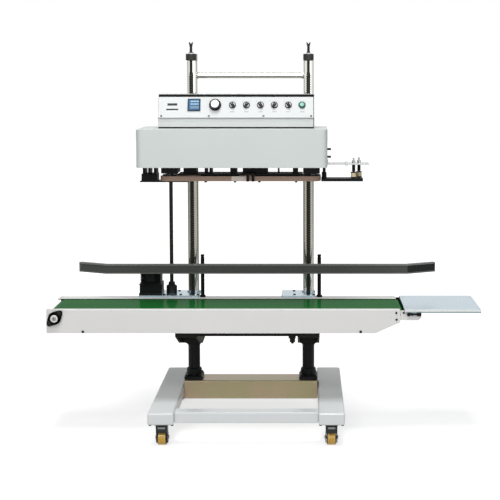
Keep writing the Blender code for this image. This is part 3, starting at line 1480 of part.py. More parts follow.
def band_wheel_ys():
    """Centres of the front and rear band wheels across the nip."""
    return {"front": NIP_Y - BAND_WHEEL_OFFSET, "rear": NIP_Y + BAND_WHEEL_OFFSET}


def head_plate(head):
    """The cast carriage: bottom plate, back plate, guide sleeves and bearing blocks."""
    inset = COVER_SHEET + SEAT_GAP
    x0, x1 = HEAD_LEFT + inset, HEAD_RIGHT - inset
    y0 = HEAD_FRONT_Y + inset
    radius = COVER_CORNER - inset
    outline = arc((x0 + radius, y0 + radius), radius, 180, 270, 4)
    outline += arc((x1 - radius, y0 + radius), radius, 270, 360, 4)
    outline += [(x1, HEAD_BACK_Y - BITE), (x0, HEAD_BACK_Y - BITE)]
    bottom = prism(outline, "Z", CARRIAGE_UNDER, CARRIAGE_UNDER + CARRIAGE_PLATE)
    back = block(
        (HEAD_LEFT, HEAD_RIGHT), (CARRIAGE_FRONT_Y, HEAD_BACK_Y), (CARRIAGE_UNDER, HEAD_TOP)
    )
    sleeve_bottom = HEAD_BOTTOM + SLEEVE_RISE
    sleeve_top = sleeve_bottom + SLEEVE_HEIGHT
    pieces = [back]
    cutters = []
    for x in COLUMN_XS.values():
        half = COLUMN_RADIUS + SLEEVE_WALL
        outline = [(x - half, HEAD_BACK_Y - BITE), (x + half, HEAD_BACK_Y - BITE)]
        outline += arc((x, COLUMN_Y), half, 0, 180, 8)
        pieces.append(prism(outline, "Z", sleeve_bottom, sleeve_top))
        low, high = sleeve_bottom - OVERCUT, sleeve_top + OVERCUT
        ends = ((x, COLUMN_Y, low), (x, COLUMN_Y, high))
        cutters.append(hole(COLUMN_RADIUS + RUN_GAP, *ends, FINE))
        cutters.append(hole(SCREW_RADIUS + RUN_GAP, (x, SCREW_Y, low), (x, SCREW_Y, high)))
    half = SHAFT_RADIUS + SLEEVE_WALL
    outline = [(SHAFT_X - half, HEAD_BACK_Y - BITE), (SHAFT_X + half, HEAD_BACK_Y - BITE)]
    outline += arc((SHAFT_X, SHAFT_Y), half, 0, 180, 6)
    pieces.append(prism(outline, "Z", sleeve_bottom, sleeve_bottom + SLEEVE_HEIGHT * SHAFT_SLEEVE_SHARE))
    low, high = sleeve_bottom - OVERCUT, sleeve_top + OVERCUT
    ends = ((SHAFT_X, SHAFT_Y, low), (SHAFT_X, SHAFT_Y, high))
    cutters.append(hole(SHAFT_RADIUS + RUN_GAP, *ends))

    under = HEAD_BOTTOM - BEARING_BLOCK_DROP
    over = CARRIAGE_UNDER + CARRIAGE_PLATE
    half = BEARING_BLOCK_HALF
    for x in BAND_WHEEL_XS:
        for y in band_wheel_ys().values():
            depth = half * BEARING_BLOCK_NARROWING
            pieces.append(block((x - half, x + half), (y - depth, y + depth), (under, over - BITE)))
            ends = ((x, y, under - OVERCUT), (x, y, over + OVERCUT))
            cutters.append(hole(SPINDLE_RADIUS + SEAT_GAP, *ends, COARSE))
    body = cut(fused(bottom, *pieces), *cutters)
    node("head_plate", body, "black_enamel", head, head.location)


def box_slope():
    """The two ends of the control box's sloped face, as (y, z)."""
    low = HEAD_TOP + SEAT_GAP + BOX_KICK
    high = low + PANEL_SLOPE_HEIGHT
    back = PANEL_SLOPE_HEIGHT * math.tan(math.radians(PANEL_TILT))
    return (BOX_FRONT_Y, low), (BOX_FRONT_Y + back, high)


def control_box(head):
    """The sheet housing of the controls, open where the panel closes it."""
    bottom = HEAD_TOP + SEAT_GAP
    top = bottom + BOX_HEIGHT
    back = BOX_FRONT_Y + BOX_DEPTH
    (low_y, low_z), (high_y, high_z) = box_slope()
    x0 = BOX_CENTRE_X - BOX_LENGTH / 2
    x1 = BOX_CENTRE_X + BOX_LENGTH / 2
    outline = [
        (low_y, bottom),
        (low_y, low_z),
        (high_y, high_z),
        (high_y, top),
        (back, top),
        (back, bottom),
    ]
    sheet = BOX_SHEET
    normal = (-math.cos(math.radians(PANEL_TILT)), math.sin(math.radians(PANEL_TILT)))
    reach = BOX_MOUTH_REACH
    margin = PANEL_MARGIN
    run = math.hypot(high_y - low_y, high_z - low_z)
    up = ((high_y - low_y) / run, (high_z - low_z) / run)
    mouth_low = (low_y + up[0] * margin, low_z + up[1] * margin)
    mouth_high = (high_y - up[0] * margin, high_z - up[1] * margin)
    hollow = [
        (low_y + sheet, bottom + sheet),
        (low_y + sheet, low_z),
        (mouth_low[0] - normal[0] * sheet, mouth_low[1] - normal[1] * sheet),
        (mouth_low[0] + normal[0] * reach, mouth_low[1] + normal[1] * reach),
        (mouth_high[0] + normal[0] * reach, mouth_high[1] + normal[1] * reach),
        (mouth_high[0] - normal[0] * sheet, mouth_high[1] - normal[1] * sheet),
        (high_y + sheet, high_z),
        (high_y + sheet, top - sheet),
        (back - sheet, top - sheet),
        (back - sheet, bottom + sheet),
    ]
    body = cut(prism(outline, "X", x0, x1), prism(hollow, "X", x0 + sheet, x1 - sheet))
    node("control_box", body, "painted_grey", head, head.location)


def panel_frame():
    """The transform from the panel's own frame (right, up, out) to the world."""
    (low_y, low_z), (high_y, high_z) = box_slope()
    out = (
        -math.cos(math.radians(PANEL_TILT)) * SEAT_GAP,
        math.sin(math.radians(PANEL_TILT)) * SEAT_GAP,
    )
    centre = (BOX_CENTRE_X, (low_y + high_y) / 2 + out[0], (low_z + high_z) / 2 + out[1])
    turn = Matrix.Rotation(math.radians(90 - PANEL_TILT), 4, "X")
    return Matrix.Translation(centre) @ turn


def control_places():
    """Places of the turning and pressing controls along the panel."""
    places = {"speed_knob": SPEED_KNOB_X, "start_button": BUTTON_X}
    for index in range(SELECTOR_COUNT):
        places[f"selector_{index + 1}"] = SELECTOR_X + index * SELECTOR_SPACING
    return places


def control_panel(head):
    """The white front plate with a hole for each control and the button's bezel."""
    half_x = BOX_LENGTH / 2
    half_y = PANEL_SLOPE_HEIGHT / math.cos(math.radians(PANEL_TILT)) / 2
    plate = block((-half_x, half_x), (-half_y, half_y), (0.0, PANEL_THICKNESS))
    bezel_top = PANEL_THICKNESS + BUTTON_BEZEL_HEIGHT
    bezel = turned(
        [
            (BUTTON_BEZEL, PANEL_THICKNESS - BITE),
            (BUTTON_BEZEL, bezel_top - BITE),
            (BUTTON_BEZEL - BITE, bezel_top),
        ],
        (BUTTON_X, CONTROL_RISE, 0.0),
        facets=MEDIUM,
    )
    screws = []
    for share in PANEL_SCREW_SHARES:
        place = (share * half_x, PANEL_SCREW_RISE - half_y)
        head_level = (PANEL_THICKNESS - BITE, PANEL_THICKNESS + BITE)
        screws.append(rod(PANEL_SCREW_RADIUS, (*place, head_level[0]), (*place, head_level[1]), 6))
    body = fused(plate, bezel, *screws)
    opening = CONTROLLER_BODY / 2 + SEAT_GAP
    cutters = [
        block(
            (CONTROLLER_X - opening, CONTROLLER_X + opening),
            (CONTROL_RISE - opening, CONTROL_RISE + opening),
            (-OVERCUT, PANEL_THICKNESS + OVERCUT),
        )
    ]
    for name, x in control_places().items():
        radius = BUTTON_RADIUS if name == "start_button" else STEM_RADIUS
        ends = ((x, CONTROL_RISE, -OVERCUT), (x, CONTROL_RISE, bezel_top + OVERCUT))
        cutters.append(hole(radius + SEAT_GAP, *ends, MEDIUM if radius > STEM_RADIUS else COARSE))
    body = placed(cut(body, *cutters), panel_frame())
    node("control_panel", body, "panel_white", head, head.location)


def temp_controller(head):
    """The square controller: bezel in front of the panel, case behind it."""
    half = CONTROLLER_SIDE / 2
    front = PANEL_THICKNESS + SEAT_GAP
    x, y = CONTROLLER_X, CONTROL_RISE
    top = front + CONTROLLER_PROUD
    bezel = block((x - half, x + half), (y - half, y + half), (front, top), EDGE_BREAK)
    inner = half - CONTROLLER_BORDER
    face_cut = block(
        (x - inner, x + inner),
        (y - inner, y + inner),
        (top - CONTROLLER_FACE_SINK, top + OVERCUT),
    )
    body = CONTROLLER_BODY / 2
    case = block((x - body, x + body), (y - body, y + body), (-CONTROLLER_DEPTH, front + BITE))
    solid = placed(cut(fused(bezel, case), face_cut), panel_frame())
    node("temp_controller", solid, "blue_plastic", head, head.location)


def control(name, solid, x, finish_name, head):
    """A control in the panel's frame, with its origin on its own axis."""
    frame = panel_frame()
    place = frame @ Vector((x, CONTROL_RISE, PANEL_THICKNESS))
    axis = pivot(f"{name}_axis", place, head)
    node(name, placed(solid, frame), finish_name, axis, place, True)


def speed_knob(head):
    """The fluted speed knob with its pointer and its stem through the panel."""
    x = SPEED_KNOB_X
    front = PANEL_THICKNESS + SEAT_GAP
    top = front + SPEED_KNOB_HEIGHT
    radius = SPEED_KNOB_RADIUS
    profile = [
        (STEM_RADIUS, -STEM_LENGTH),
        (STEM_RADIUS, front),
        (radius, front),
        (radius, front + KNOB_SKIRT_HEIGHT),
        (radius * KNOB_SHOULDER, front + KNOB_SKIRT_HEIGHT + EDGE_BREAK),
        (radius * KNOB_CROWN + EDGE_BREAK, top - EDGE_BREAK),
        (radius * KNOB_CROWN, top),
    ]
    knob = turned(profile, (x, CONTROL_RISE, 0.0), facets=MEDIUM)
    pointer = block(
        (x - POINTER_WIDTH / 2, x + POINTER_WIDTH / 2),
        (CONTROL_RISE, CONTROL_RISE + radius * KNOB_CROWN),
        (top - BITE, top + POINTER_PROUD),
    )
    control("speed_knob", fused(knob, pointer), x, "black_plastic", head)


def selectors(head):
    """The round selector switches, each with a raised finger grip."""
    front = PANEL_THICKNESS + SEAT_GAP
    radius = SELECTOR_RADIUS
    for name, x in control_places().items():
        if not name.startswith("selector"):
            continue
        profile = [
            (STEM_RADIUS, -STEM_LENGTH),
            (STEM_RADIUS, front),
            (radius, front),
            (radius, front + SELECTOR_SKIRT_HEIGHT),
            (radius - EDGE_BREAK, front + SELECTOR_SKIRT_HEIGHT + EDGE_BREAK),
        ]
        skirt = turned(profile, (x, CONTROL_RISE, 0.0), facets=12)
        half = radius * GRIP_WIDTH_SHARE / 2
        reach = radius * GRIP_LENGTH_SHARE / 2
        grip_foot = front + SELECTOR_SKIRT_HEIGHT
        grip = block((-half, half), (-reach, reach), (grip_foot, grip_foot + GRIP_HEIGHT))
        turn = math.radians(SELECTOR_TURN / 2) * (1 if int(name[-1]) % 2 else -1)
        place = Matrix.Translation((x, CONTROL_RISE, 0.0)) @ Matrix.Rotation(turn, 4, "Z")
        control(name, fused(skirt, placed(grip, place)), x, "black_plastic", head)


def start_button(head):
    """The green push button inside its bezel."""
    x = BUTTON_X
    top = PANEL_THICKNESS + BUTTON_BEZEL_HEIGHT + BUTTON_TRAVEL
    profile = [
        (BUTTON_RADIUS, -BUTTON_SKIRT),
        (BUTTON_RADIUS, top - EDGE_BREAK),
        (BUTTON_RADIUS - EDGE_BREAK, top),
    ]
    cap = turned(profile, (x, CONTROL_RISE, 0.0), facets=MEDIUM)
    control("start_button", cap, x, "green_plastic", head)


# Sealing band train


def band_path(y, radius):
    """The stadium round the two wheels of one band, as (x, y)."""
    return belt_outline((BAND_WHEEL_XS[0], y), radius, (BAND_WHEEL_XS[1], y), radius, WRAP_STEPS)


def sealing_band(side, y, head):
    """One endless sealing band on its pair of wheels."""
    inner = BAND_WHEEL_RADIUS + SEAT_GAP
    outer = inner + BAND_THICKNESS - SEAT_GAP
    band = cut(
        prism(band_path(y, outer), "Z", BAND_BOTTOM, BAND_TOP),
        prism(band_path(y, inner), "Z", BAND_BOTTOM - OVERCUT, BAND_TOP + OVERCUT),
    )
    node(f"band_{side}", band, "band_brown", head, head.location, True)


def band_wheel(side, end, x, y, head):
    """A band wheel on its spindle, hung from a collar above the carriage plate."""
    radius = BAND_WHEEL_RADIUS
    seat = CARRIAGE_UNDER + CARRIAGE_PLATE + SEAT_GAP
    spindle = SPINDLE_RADIUS
    rim = [
        (WHEEL_WEB_RADIUS, BAND_BOTTOM + WHEEL_RIM_BEVEL),
        (radius, BAND_BOTTOM),
        (radius, BAND_TOP),
        (WHEEL_WEB_RADIUS, BAND_TOP - WHEEL_RIM_BEVEL),
    ]
    hub = [
        (WHEEL_HUB_RADIUS, BAND_BOTTOM - BITE),
        (WHEEL_HUB_RADIUS, BAND_TOP + BITE),
        (spindle, BAND_TOP + 2 * BITE),
        (spindle, seat),
        (SPINDLE_COLLAR, seat),
        (SPINDLE_COLLAR, seat + SPINDLE_COLLAR_HEIGHT),
    ]
    wheel = fused(
        turned(rim, (x, y, 0.0), facets=MEDIUM), turned(hub, (x, y, 0.0), facets=COARSE)
    )
    spin = pivot(f"band_axis_{side}_{end}", (x, y, BAND_TOP), head)
    node(f"band_wheel_{side}_{end}", wheel, "zinc_steel", spin, (x, y, BAND_TOP), True)


def carrier_limits():
    """The carrier bar's ends, clear of the spindles of the wheels."""
    half = BEARING_BLOCK_HALF + CARRIER_CLEARANCE
    return BAND_WHEEL_XS[0] + half, BAND_WHEEL_XS[1] - half


def seal_blocks(side, sign, head):
    """Heater and cooler blocks inside one band, on a carrier bar with its hangers.

    Depths are measured from the nip, towards the front for one side and towards the
    back for the other.
    """

    def across(near, far):
        """Limits in Y of what lies between two depths from the nip."""
        ends = (NIP_Y + sign * near, NIP_Y + sign * far)
        return min(ends), max(ends)

    left, right = carrier_limits()
    under = BAND_TOP + CARRIER_CLEARANCE
    top = under + CARRIER_THICKNESS
    inner = SEAT_GAP + BAND_THICKNESS + 2 * SEAT_GAP
    carrier_near = inner + CARRIER_SETBACK
    roof = HEAD_BOTTOM
    depth = across(carrier_near, carrier_near + CARRIER_DEPTH)
    carrier = block((left, right), depth, (under, top))
    pieces = []
    low = BAND_BOTTOM - BITE
    cutters = []
    for centre, length, finned in (
        (HEATER_CENTRE_X, HEATER_LENGTH, False),
        (COOLER_CENTRE_X, COOLER_LENGTH, True),
    ):
        x0, x1 = centre - length / 2, centre + length / 2
        pieces.append(block((x0, x1), across(inner, inner + BLOCK_DEPTH), (low, under + BITE)))
        bolt_y = NIP_Y + sign * (inner + BLOCK_DEPTH / 2)
        for x in (x0 + BLOCK_BOLT_INSET, x1 - BLOCK_BOLT_INSET):
            ends = ((x, bolt_y, low - BLOCK_BOLT_HEIGHT), (x, bolt_y, low + BITE))
            pieces.append(rod(BLOCK_BOLT_RADIUS, *ends, 6))
        if finned:
            first = x0 + 2 * BLOCK_BOLT_INSET
            pitch = (x1 - 2 * BLOCK_BOLT_INSET - first) / (FIN_COUNT - 1)
            for index in range(FIN_COUNT):
                x = first + index * pitch
                slot = across(inner + BLOCK_DEPTH * FIN_ROOT_SHARE, inner + BLOCK_DEPTH + OVERCUT)
                half = min(FIN_SLOT, pitch * FIN_WIDEST_SHARE) / 2
                cutters.append(block((x - half, x + half), slot, (low - OVERCUT, under - FIN_ROOF)))

    wide = across(carrier_near + HANGER_SETBACK, carrier_near + HANGER_SETBACK + HANGER_DEPTH)
    cooler_left = COOLER_CENTRE_X - COOLER_LENGTH / 2
    cooler_right = COOLER_CENTRE_X + COOLER_LENGTH / 2
    heater_left = HEATER_CENTRE_X - HEATER_LENGTH / 2
    heater_right = HEATER_CENTRE_X + HEATER_LENGTH / 2
    for edge, spans in (
        (cooler_left, COOLER_LEFT_HANGERS),
        (cooler_right, COOLER_RIGHT_HANGERS),
        (heater_left, HEATER_LEFT_HANGERS),
        (heater_right, HEATER_RIGHT_HANGERS),
    ):
        for start, end in spans:
            pieces.append(block((edge + start, edge + end), wide, (top - BITE, roof)))
    rod_y = NIP_Y + sign * (carrier_near + HANGER_SETBACK + HANGER_DEPTH / 2)
    rod_x = heater_left + SPRING_ROD_OFFSET
    ends = ((rod_x, rod_y, top - BITE), (rod_x, rod_y, roof))
    pieces.append(rod(SPRING_ROD_RADIUS, *ends, COARSE))

    # A pair of press rollers stands outside the band, on a bridge over it.
    outside = 2 * (BAND_WHEEL_RADIUS + BAND_THICKNESS) + inner + BRIDGE_CLEARANCE
    half = PRESS_ROLLER_SPACING / 2 + BRIDGE_MARGIN
    bridge = (PRESS_ROLLER_X - half, PRESS_ROLLER_X + half)
    far = outside + 2 * PRESS_ROLLER_RADIUS
    bridge_depth = across(carrier_near + HANGER_SETBACK, far)
    pieces.append(block(bridge, bridge_depth, (top - BRIDGE_RISE, top + BRIDGE_RISE)))
    for end in (-1, 1):
        x = PRESS_ROLLER_X + end * PRESS_ROLLER_SPACING / 2
        y = NIP_Y + sign * (outside + PRESS_ROLLER_RADIUS)
        pieces.append(rod(PRESS_ROLLER_RADIUS, (x, y, BAND_BOTTOM), (x, y, top - BITE), COARSE))
    solid = fused(carrier, *pieces)
    if cutters:
        solid = cut(solid, *cutters)
    node(f"seal_blocks_{side}", solid, "black_enamel", head, head.location)


# Infeed arm and outfeed guard


def infeed_places():
    """Axes of the two infeed rollers, one each side of the nip."""
    far = PRONG_END - INFEED_ROLLER_INSET + INFEED_ROLLER_RADIUS
    offset = BAG_SLOT / 2 + INFEED_ROLLER_RADIUS + ROLLER_TO_SLOT
    return {
        "front": (far - INFEED_ROLLER_STAGGER, NIP_Y - offset),
        "rear": (far, NIP_Y + offset),
    }


def infeed_arm(head):
    """Two prongs under the bag's path, posts, roller spindles and the top bar."""
    low = PRONG_TOP - PRONG_THICKNESS
    bar_bottom = HEAD_BOTTOM + TOP_BAR_RISE
    bar_top = bar_bottom + TOP_BAR_THICKNESS
    bar_x0 = HEAD_RIGHT + SEAT_GAP
    bar_half = BAG_SLOT / 2 + 2 * INFEED_ROLLER_RADIUS + ROLLER_TO_BAR_EDGE
    depth = (NIP_Y - bar_half, NIP_Y + bar_half)
    bar = block((bar_x0, bar_x0 + TOP_BAR_LENGTH), depth, (bar_bottom, bar_top))
    foot = block(
        (bar_x0, bar_x0 + TOP_BAR_FOOT), depth, (bar_bottom, bar_top + TOP_BAR_FOOT_RISE)
    )
    collar_x0 = bar_x0 + TOP_COLLAR_START
    collar = block(
        (collar_x0, collar_x0 + TOP_COLLAR_LENGTH),
        (depth[0] - TOP_COLLAR_PROUD, depth[1] + TOP_COLLAR_PROUD),
        (bar_bottom - TOP_COLLAR_PROUD, bar_top + TOP_COLLAR_PROUD),
    )
    pieces = [foot, collar]
    roller_base = PRONG_TOP + SEAT_GAP
    for side, (x, y) in infeed_places().items():
        sign = -1 if side == "front" else 1
        near = NIP_Y + sign * BAG_SLOT / 2
        far = near + sign * PRONG_DEPTH
        prong_depth = (min(near, far), max(near, far))
        pieces.append(block((PRONG_START, PRONG_END), prong_depth, (low, PRONG_TOP)))
        post_x = PRONG_START + ARM_POST_INSET
        post_y = near + sign * PRONG_DEPTH * ARM_POST_DEPTH_SHARE
        profile = [
            (ARM_POST_RADIUS, PRONG_TOP - BITE),
            (ARM_POST_RADIUS, PRONG_TOP + ARM_POST_HEIGHT),
            (ARM_POST_RADIUS * ARM_POST_NECK_SHARE, PRONG_TOP + ARM_POST_HEIGHT),
            (ARM_POST_RADIUS * ARM_POST_NECK_SHARE, HEAD_BOTTOM),
        ]
        pieces.append(turned(profile, (post_x, post_y, 0.0), facets=COARSE))
        spindle = INFEED_SPINDLE_RADIUS * math.cos(math.pi / COARSE)
        roller_top = roller_base + INFEED_ROLLER_HEIGHT
        profile = [
            (spindle, PRONG_TOP - BITE),
            (spindle, roller_top + SEAT_GAP),
            (SPINDLE_SLEEVE_RADIUS, roller_top + SEAT_GAP),
            (SPINDLE_SLEEVE_RADIUS, bar_bottom + BITE),
            (spindle, bar_bottom + BITE),
            (spindle, bar_top - BITE),
            (SPINDLE_KNOB_RADIUS, bar_top - BITE),
            (SPINDLE_KNOB_RADIUS, bar_top + SPINDLE_KNOB_HEIGHT / 2),
            (SPINDLE_KNOB_RADIUS / 2, bar_top + SPINDLE_KNOB_HEIGHT / 2 + BITE),
            (SPINDLE_KNOB_RADIUS / 2, bar_top + SPINDLE_KNOB_HEIGHT),
        ]
        pieces.append(turned(profile, (x, y, 0.0), facets=COARSE))
    node("infeed_arm", fused(bar, *pieces), "dark_steel", head, head.location)


def infeed_rollers(head):
    """The waisted rollers that the bag's mouth passes between."""
    base = PRONG_TOP + SEAT_GAP
    for side, (x, y) in infeed_places().items():
        radius = INFEED_ROLLER_RADIUS
        waist = radius * ROLLER_WAIST_SHARE
        top = base + INFEED_ROLLER_HEIGHT
        profile = [
            (radius, base),
            (radius, base + ROLLER_RIM),
            (waist, base + ROLLER_RIM + ROLLER_RIM_BEVEL),
            (waist, top - ROLLER_RIM - ROLLER_RIM_BEVEL),
            (radius, top - ROLLER_RIM),
            (radius, top),
        ]
        body = turned(profile, (x, y, 0.0), facets=MEDIUM)
        ends = ((x, y, base - OVERCUT), (x, y, top + OVERCUT))
        bore = hole(INFEED_SPINDLE_RADIUS + SEAT_GAP, *ends, COARSE)
        spin = pivot(f"infeed_axis_{side}", (x, y, base), head)
        node(f"infeed_roller_{side}", cut(body, bore), "brass", spin, (x, y, base), True)


def outfeed_guard(head):
    """The plate and slotted block that guide the sealed edge out of the bands."""
    x0 = BAND_WHEEL_XS[0] - BAND_WHEEL_RADIUS - BAND_THICKNESS - GUARD_REACH
    x1 = x0 + GUARD_LENGTH
    plate_top = BAND_BOTTOM - GUARD_DROP
    half = GUARD_DEPTH / 2
    depth = (NIP_Y - half, NIP_Y + half)
    plate = block((x0, x1), depth, (plate_top - GUARD_THICKNESS, plate_top), GUARD_ROUNDING)
    block_x0 = x0 + GUARD_BLOCK_INSET
    block_x1 = block_x0 + GUARD_BLOCK_LENGTH
    block_top = BAND_TOP + GUARD_BLOCK_RISE
    body = block((block_x0, block_x1), depth, (plate_top - BITE, block_top))
    posts = []
    for start, end in GUARD_POSTS:
        posts.append(
            block(
                (block_x0 + start, block_x0 + end),
                (depth[0] + GUARD_POST_INSET, depth[1] - GUARD_POST_INSET),
                (block_top - BITE, HEAD_BOTTOM),
            )
        )
    solid = fused(plate, body, *posts)
    slot = block(
        (x0 - OVERCUT, x1 + OVERCUT),
        (NIP_Y - BAG_SLOT / 2, NIP_Y + BAG_SLOT / 2),
        (plate_top - GUARD_THICKNESS - OVERCUT, HEAD_BOTTOM - GUARD_TUNNEL_RISE),
    )
    node("outfeed_guard", cut(solid, slot), "black_enamel", head, head.location)


def main():
    """Clears the scene and builds the sealer from the floor up."""
    for old in list(bpy.data.objects):
        bpy.data.objects.remove(old)
    for name, (colour, roughness, metallic) in FINISHES.items():
        finish(name, colour, roughness, metallic)

    for side, sign in (("left", -1), ("right", 1)):
        base_beam(side, sign)
    base_cross_members()
    for name, place in castor_places().items():
        castor(name, *place)
    for side in COLUMN_XS:
        pillar(side)
        column(side)
        top_block(side)
        lead_screw(side)
        rail_post(side)
    tie_tube()
    lift_chain()

    conveyor_frame()
    conveyor_belt()
    rollers()
    flange_bearing()
    tail_bracket()
    extension_plate()
    deck_plate("left", LEFT_DECK_LENGTH)
    deck_plate("right", RIGHT_DECK_LENGTH)
    drive_motor()
    drive_shaft()
    guide_rail()

    head = pivot("head", (HEAD_CENTRE_X, NIP_Y, HEAD_BOTTOM))
    head_cover(head)
    head_plate(head)
    control_box(head)
    control_panel(head)
    temp_controller(head)
    speed_knob(head)
    selectors(head)
    start_button(head)
    for sign, (side, y) in zip((-1, 1), band_wheel_ys().items()):
        sealing_band(side, y, head)
        for end, x in zip(("left", "right"), BAND_WHEEL_XS):
            band_wheel(side, end, x, y, head)
        seal_blocks(side, sign, head)
    infeed_arm(head)
    infeed_rollers(head)
    outfeed_guard(head)


main()
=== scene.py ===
"""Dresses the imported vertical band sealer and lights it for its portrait.

The machine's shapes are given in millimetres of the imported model's frame, and the studio in metres.
"""

import json
import logging
import math
from collections.abc import Callable
from dataclasses import dataclass, field
from enum import Enum

import bmesh
import bpy
from mathutils import Matrix, Vector

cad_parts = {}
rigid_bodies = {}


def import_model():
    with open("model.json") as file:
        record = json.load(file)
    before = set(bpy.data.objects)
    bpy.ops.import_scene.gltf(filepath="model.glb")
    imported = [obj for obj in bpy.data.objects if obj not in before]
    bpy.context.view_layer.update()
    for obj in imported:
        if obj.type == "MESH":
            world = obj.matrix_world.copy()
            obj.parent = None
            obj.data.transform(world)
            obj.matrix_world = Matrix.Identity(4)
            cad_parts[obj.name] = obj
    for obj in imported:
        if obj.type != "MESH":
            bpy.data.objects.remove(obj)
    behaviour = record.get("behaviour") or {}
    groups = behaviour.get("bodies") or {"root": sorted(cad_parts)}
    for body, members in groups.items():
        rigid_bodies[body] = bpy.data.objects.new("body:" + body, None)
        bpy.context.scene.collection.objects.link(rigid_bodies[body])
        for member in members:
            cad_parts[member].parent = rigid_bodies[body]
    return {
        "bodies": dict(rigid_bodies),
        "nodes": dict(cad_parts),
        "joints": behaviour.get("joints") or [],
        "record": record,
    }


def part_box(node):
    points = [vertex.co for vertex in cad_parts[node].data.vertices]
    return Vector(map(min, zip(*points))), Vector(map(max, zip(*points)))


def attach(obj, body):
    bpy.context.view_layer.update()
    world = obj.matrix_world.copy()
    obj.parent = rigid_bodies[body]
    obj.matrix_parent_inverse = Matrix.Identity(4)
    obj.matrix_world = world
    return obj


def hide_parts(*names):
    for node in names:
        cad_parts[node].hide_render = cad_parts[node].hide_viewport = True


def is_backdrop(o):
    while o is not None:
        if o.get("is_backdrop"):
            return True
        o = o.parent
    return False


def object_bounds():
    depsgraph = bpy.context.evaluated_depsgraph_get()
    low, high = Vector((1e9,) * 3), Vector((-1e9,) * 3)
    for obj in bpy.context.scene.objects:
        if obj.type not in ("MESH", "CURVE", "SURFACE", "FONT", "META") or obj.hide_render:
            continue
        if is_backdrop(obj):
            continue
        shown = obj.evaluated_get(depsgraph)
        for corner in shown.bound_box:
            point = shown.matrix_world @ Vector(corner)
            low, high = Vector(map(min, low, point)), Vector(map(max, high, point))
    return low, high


LOG = logging.getLogger("band_sealer")

Point = tuple[float, float, float]
Colour = tuple[float, float, float]
Profile = list[tuple[float, float]]
Wheel = tuple[tuple[float, float], float]
Test = Callable[[Vector, Vector], bool]
Solid = bmesh.types.BMesh
Socket = bpy.types.NodeSocket
Tree = bpy.types.NodeTree

MM = 0.001
WHOLE_TURN = 2.0 * math.pi
MERGE = 0.000002
CREASE = math.radians(32.0)
SIGNS = (-1.0, 1.0)
ORIGIN = (0, 0, 0)
WHITE = (1.0, 1.0, 1.0, 1.0)


class Axis(Enum):
    """The three directions that turned and drawn shapes run along."""

    X = Vector((1.0, 0.0, 0.0))
    Y = Vector((0.0, 1.0, 0.0))
    Z = Vector((0.0, 0.0, 1.0))


class Side(Enum):
    """The two columns' sides, seen from the operator."""

    LEFT = "left"
    RIGHT = "right"


COLUMN_X = {Side.LEFT: -260, Side.RIGHT: 149}
COLUMN_Y = 90
POST_X = {Side.LEFT: -222, Side.RIGHT: 187}


# Surfaces


def feed(tree: Tree, node: bpy.types.Node, inputs: dict) -> None:
    """Sets inputs of a node to values, or links them to the sockets that feed them."""
    for key, source in inputs.items():
        if isinstance(source, Socket):
            tree.links.new(source, node.inputs[key])
        else:
            node.inputs[key].default_value = source


def add(tree: Tree, kind: str, inputs: dict | None = None, **settings: object) -> bpy.types.Node:
    """Adds a shader node.

    Args:
        tree: the tree that it joins.
        kind: its type, without the leading ShaderNode.
        inputs: a value or a feeding socket by the input's name or number.
        settings: its own properties.

    Returns:
        The node.
    """
    node = tree.nodes.new(f"ShaderNode{kind}")
    for name, value in settings.items():
        setattr(node, name, value)
    feed(tree, node, inputs or {})
    return node


def new_material(name: str) -> tuple[bpy.types.Material, Tree, bpy.types.Node]:
    """A new material, its node tree and its shader."""
    material = bpy.data.materials.new(name)
    material.use_nodes = True
    return material, material.node_tree, material.node_tree.nodes["Principled BSDF"]


class SurfaceGroup:
    """The shared node group that gives every finish its drift, smudges and grain."""

    NAME = "Worked surface"
    INPUTS = {
        "Vector": "Vector", "Colour": "Color", "Roughness": "Float", "Drift": "Float", "Drift scale": "Float",
        "Smudge": "Float", "Grain scale": "Float", "Grain depth": "Float",
    }
    OUTPUTS = {"Colour": "Color", "Roughness": "Float", "Normal": "Vector"}

    @classmethod
    def tree(cls) -> Tree:
        """The group's node tree, built on first use."""
        if cls.NAME in bpy.data.node_groups:
            return bpy.data.node_groups[cls.NAME]
        tree = bpy.data.node_groups.new(cls.NAME, "ShaderNodeTree")
        for way, sockets in (("INPUT", cls.INPUTS), ("OUTPUT", cls.OUTPUTS)):
            for name, kind in sockets.items():
                tree.interface.new_socket(name=name, in_out=way, socket_type=f"NodeSocket{kind}")
        cls._fill(tree)
        return tree

    @staticmethod
    def _fill(tree: Tree) -> None:
        """Lays the group's nodes and links."""
        given = tree.nodes.new("NodeGroupInput").outputs
        place = given["Vector"]
        broad = add(tree, "TexNoise", {"Vector": place, "Scale": given["Drift scale"], "Detail": 3.0})
        fine = add(tree, "TexNoise", {"Vector": place, "Scale": given["Grain scale"], "Detail": 2.0})

        def centred(amount: Socket, base: Socket | float) -> Socket:
            """Base plus amount times the broad noise, counted from its middle."""
            middle = add(tree, "Math", {0: broad.outputs["Fac"], 1: 0.5}, operation="SUBTRACT")
            parts = {0: middle.outputs[0], 1: amount, 2: base}
            return add(tree, "Math", parts, operation="MULTIPLY_ADD").outputs[0]

        tint = add(tree, "HueSaturation", {"Color": given["Colour"], "Value": centred(given["Drift"], 1.0)})
        relief = add(
            tree, "Bump", {"Strength": 1.0, "Distance": given["Grain depth"], "Height": fine.outputs["Fac"]}
        )
        feed(tree, tree.nodes.new("NodeGroupOutput"), {
            "Colour": tint.outputs["Color"],
            "Roughness": centred(given["Smudge"], given["Roughness"]),
            "Normal": relief.outputs["Normal"],
        })


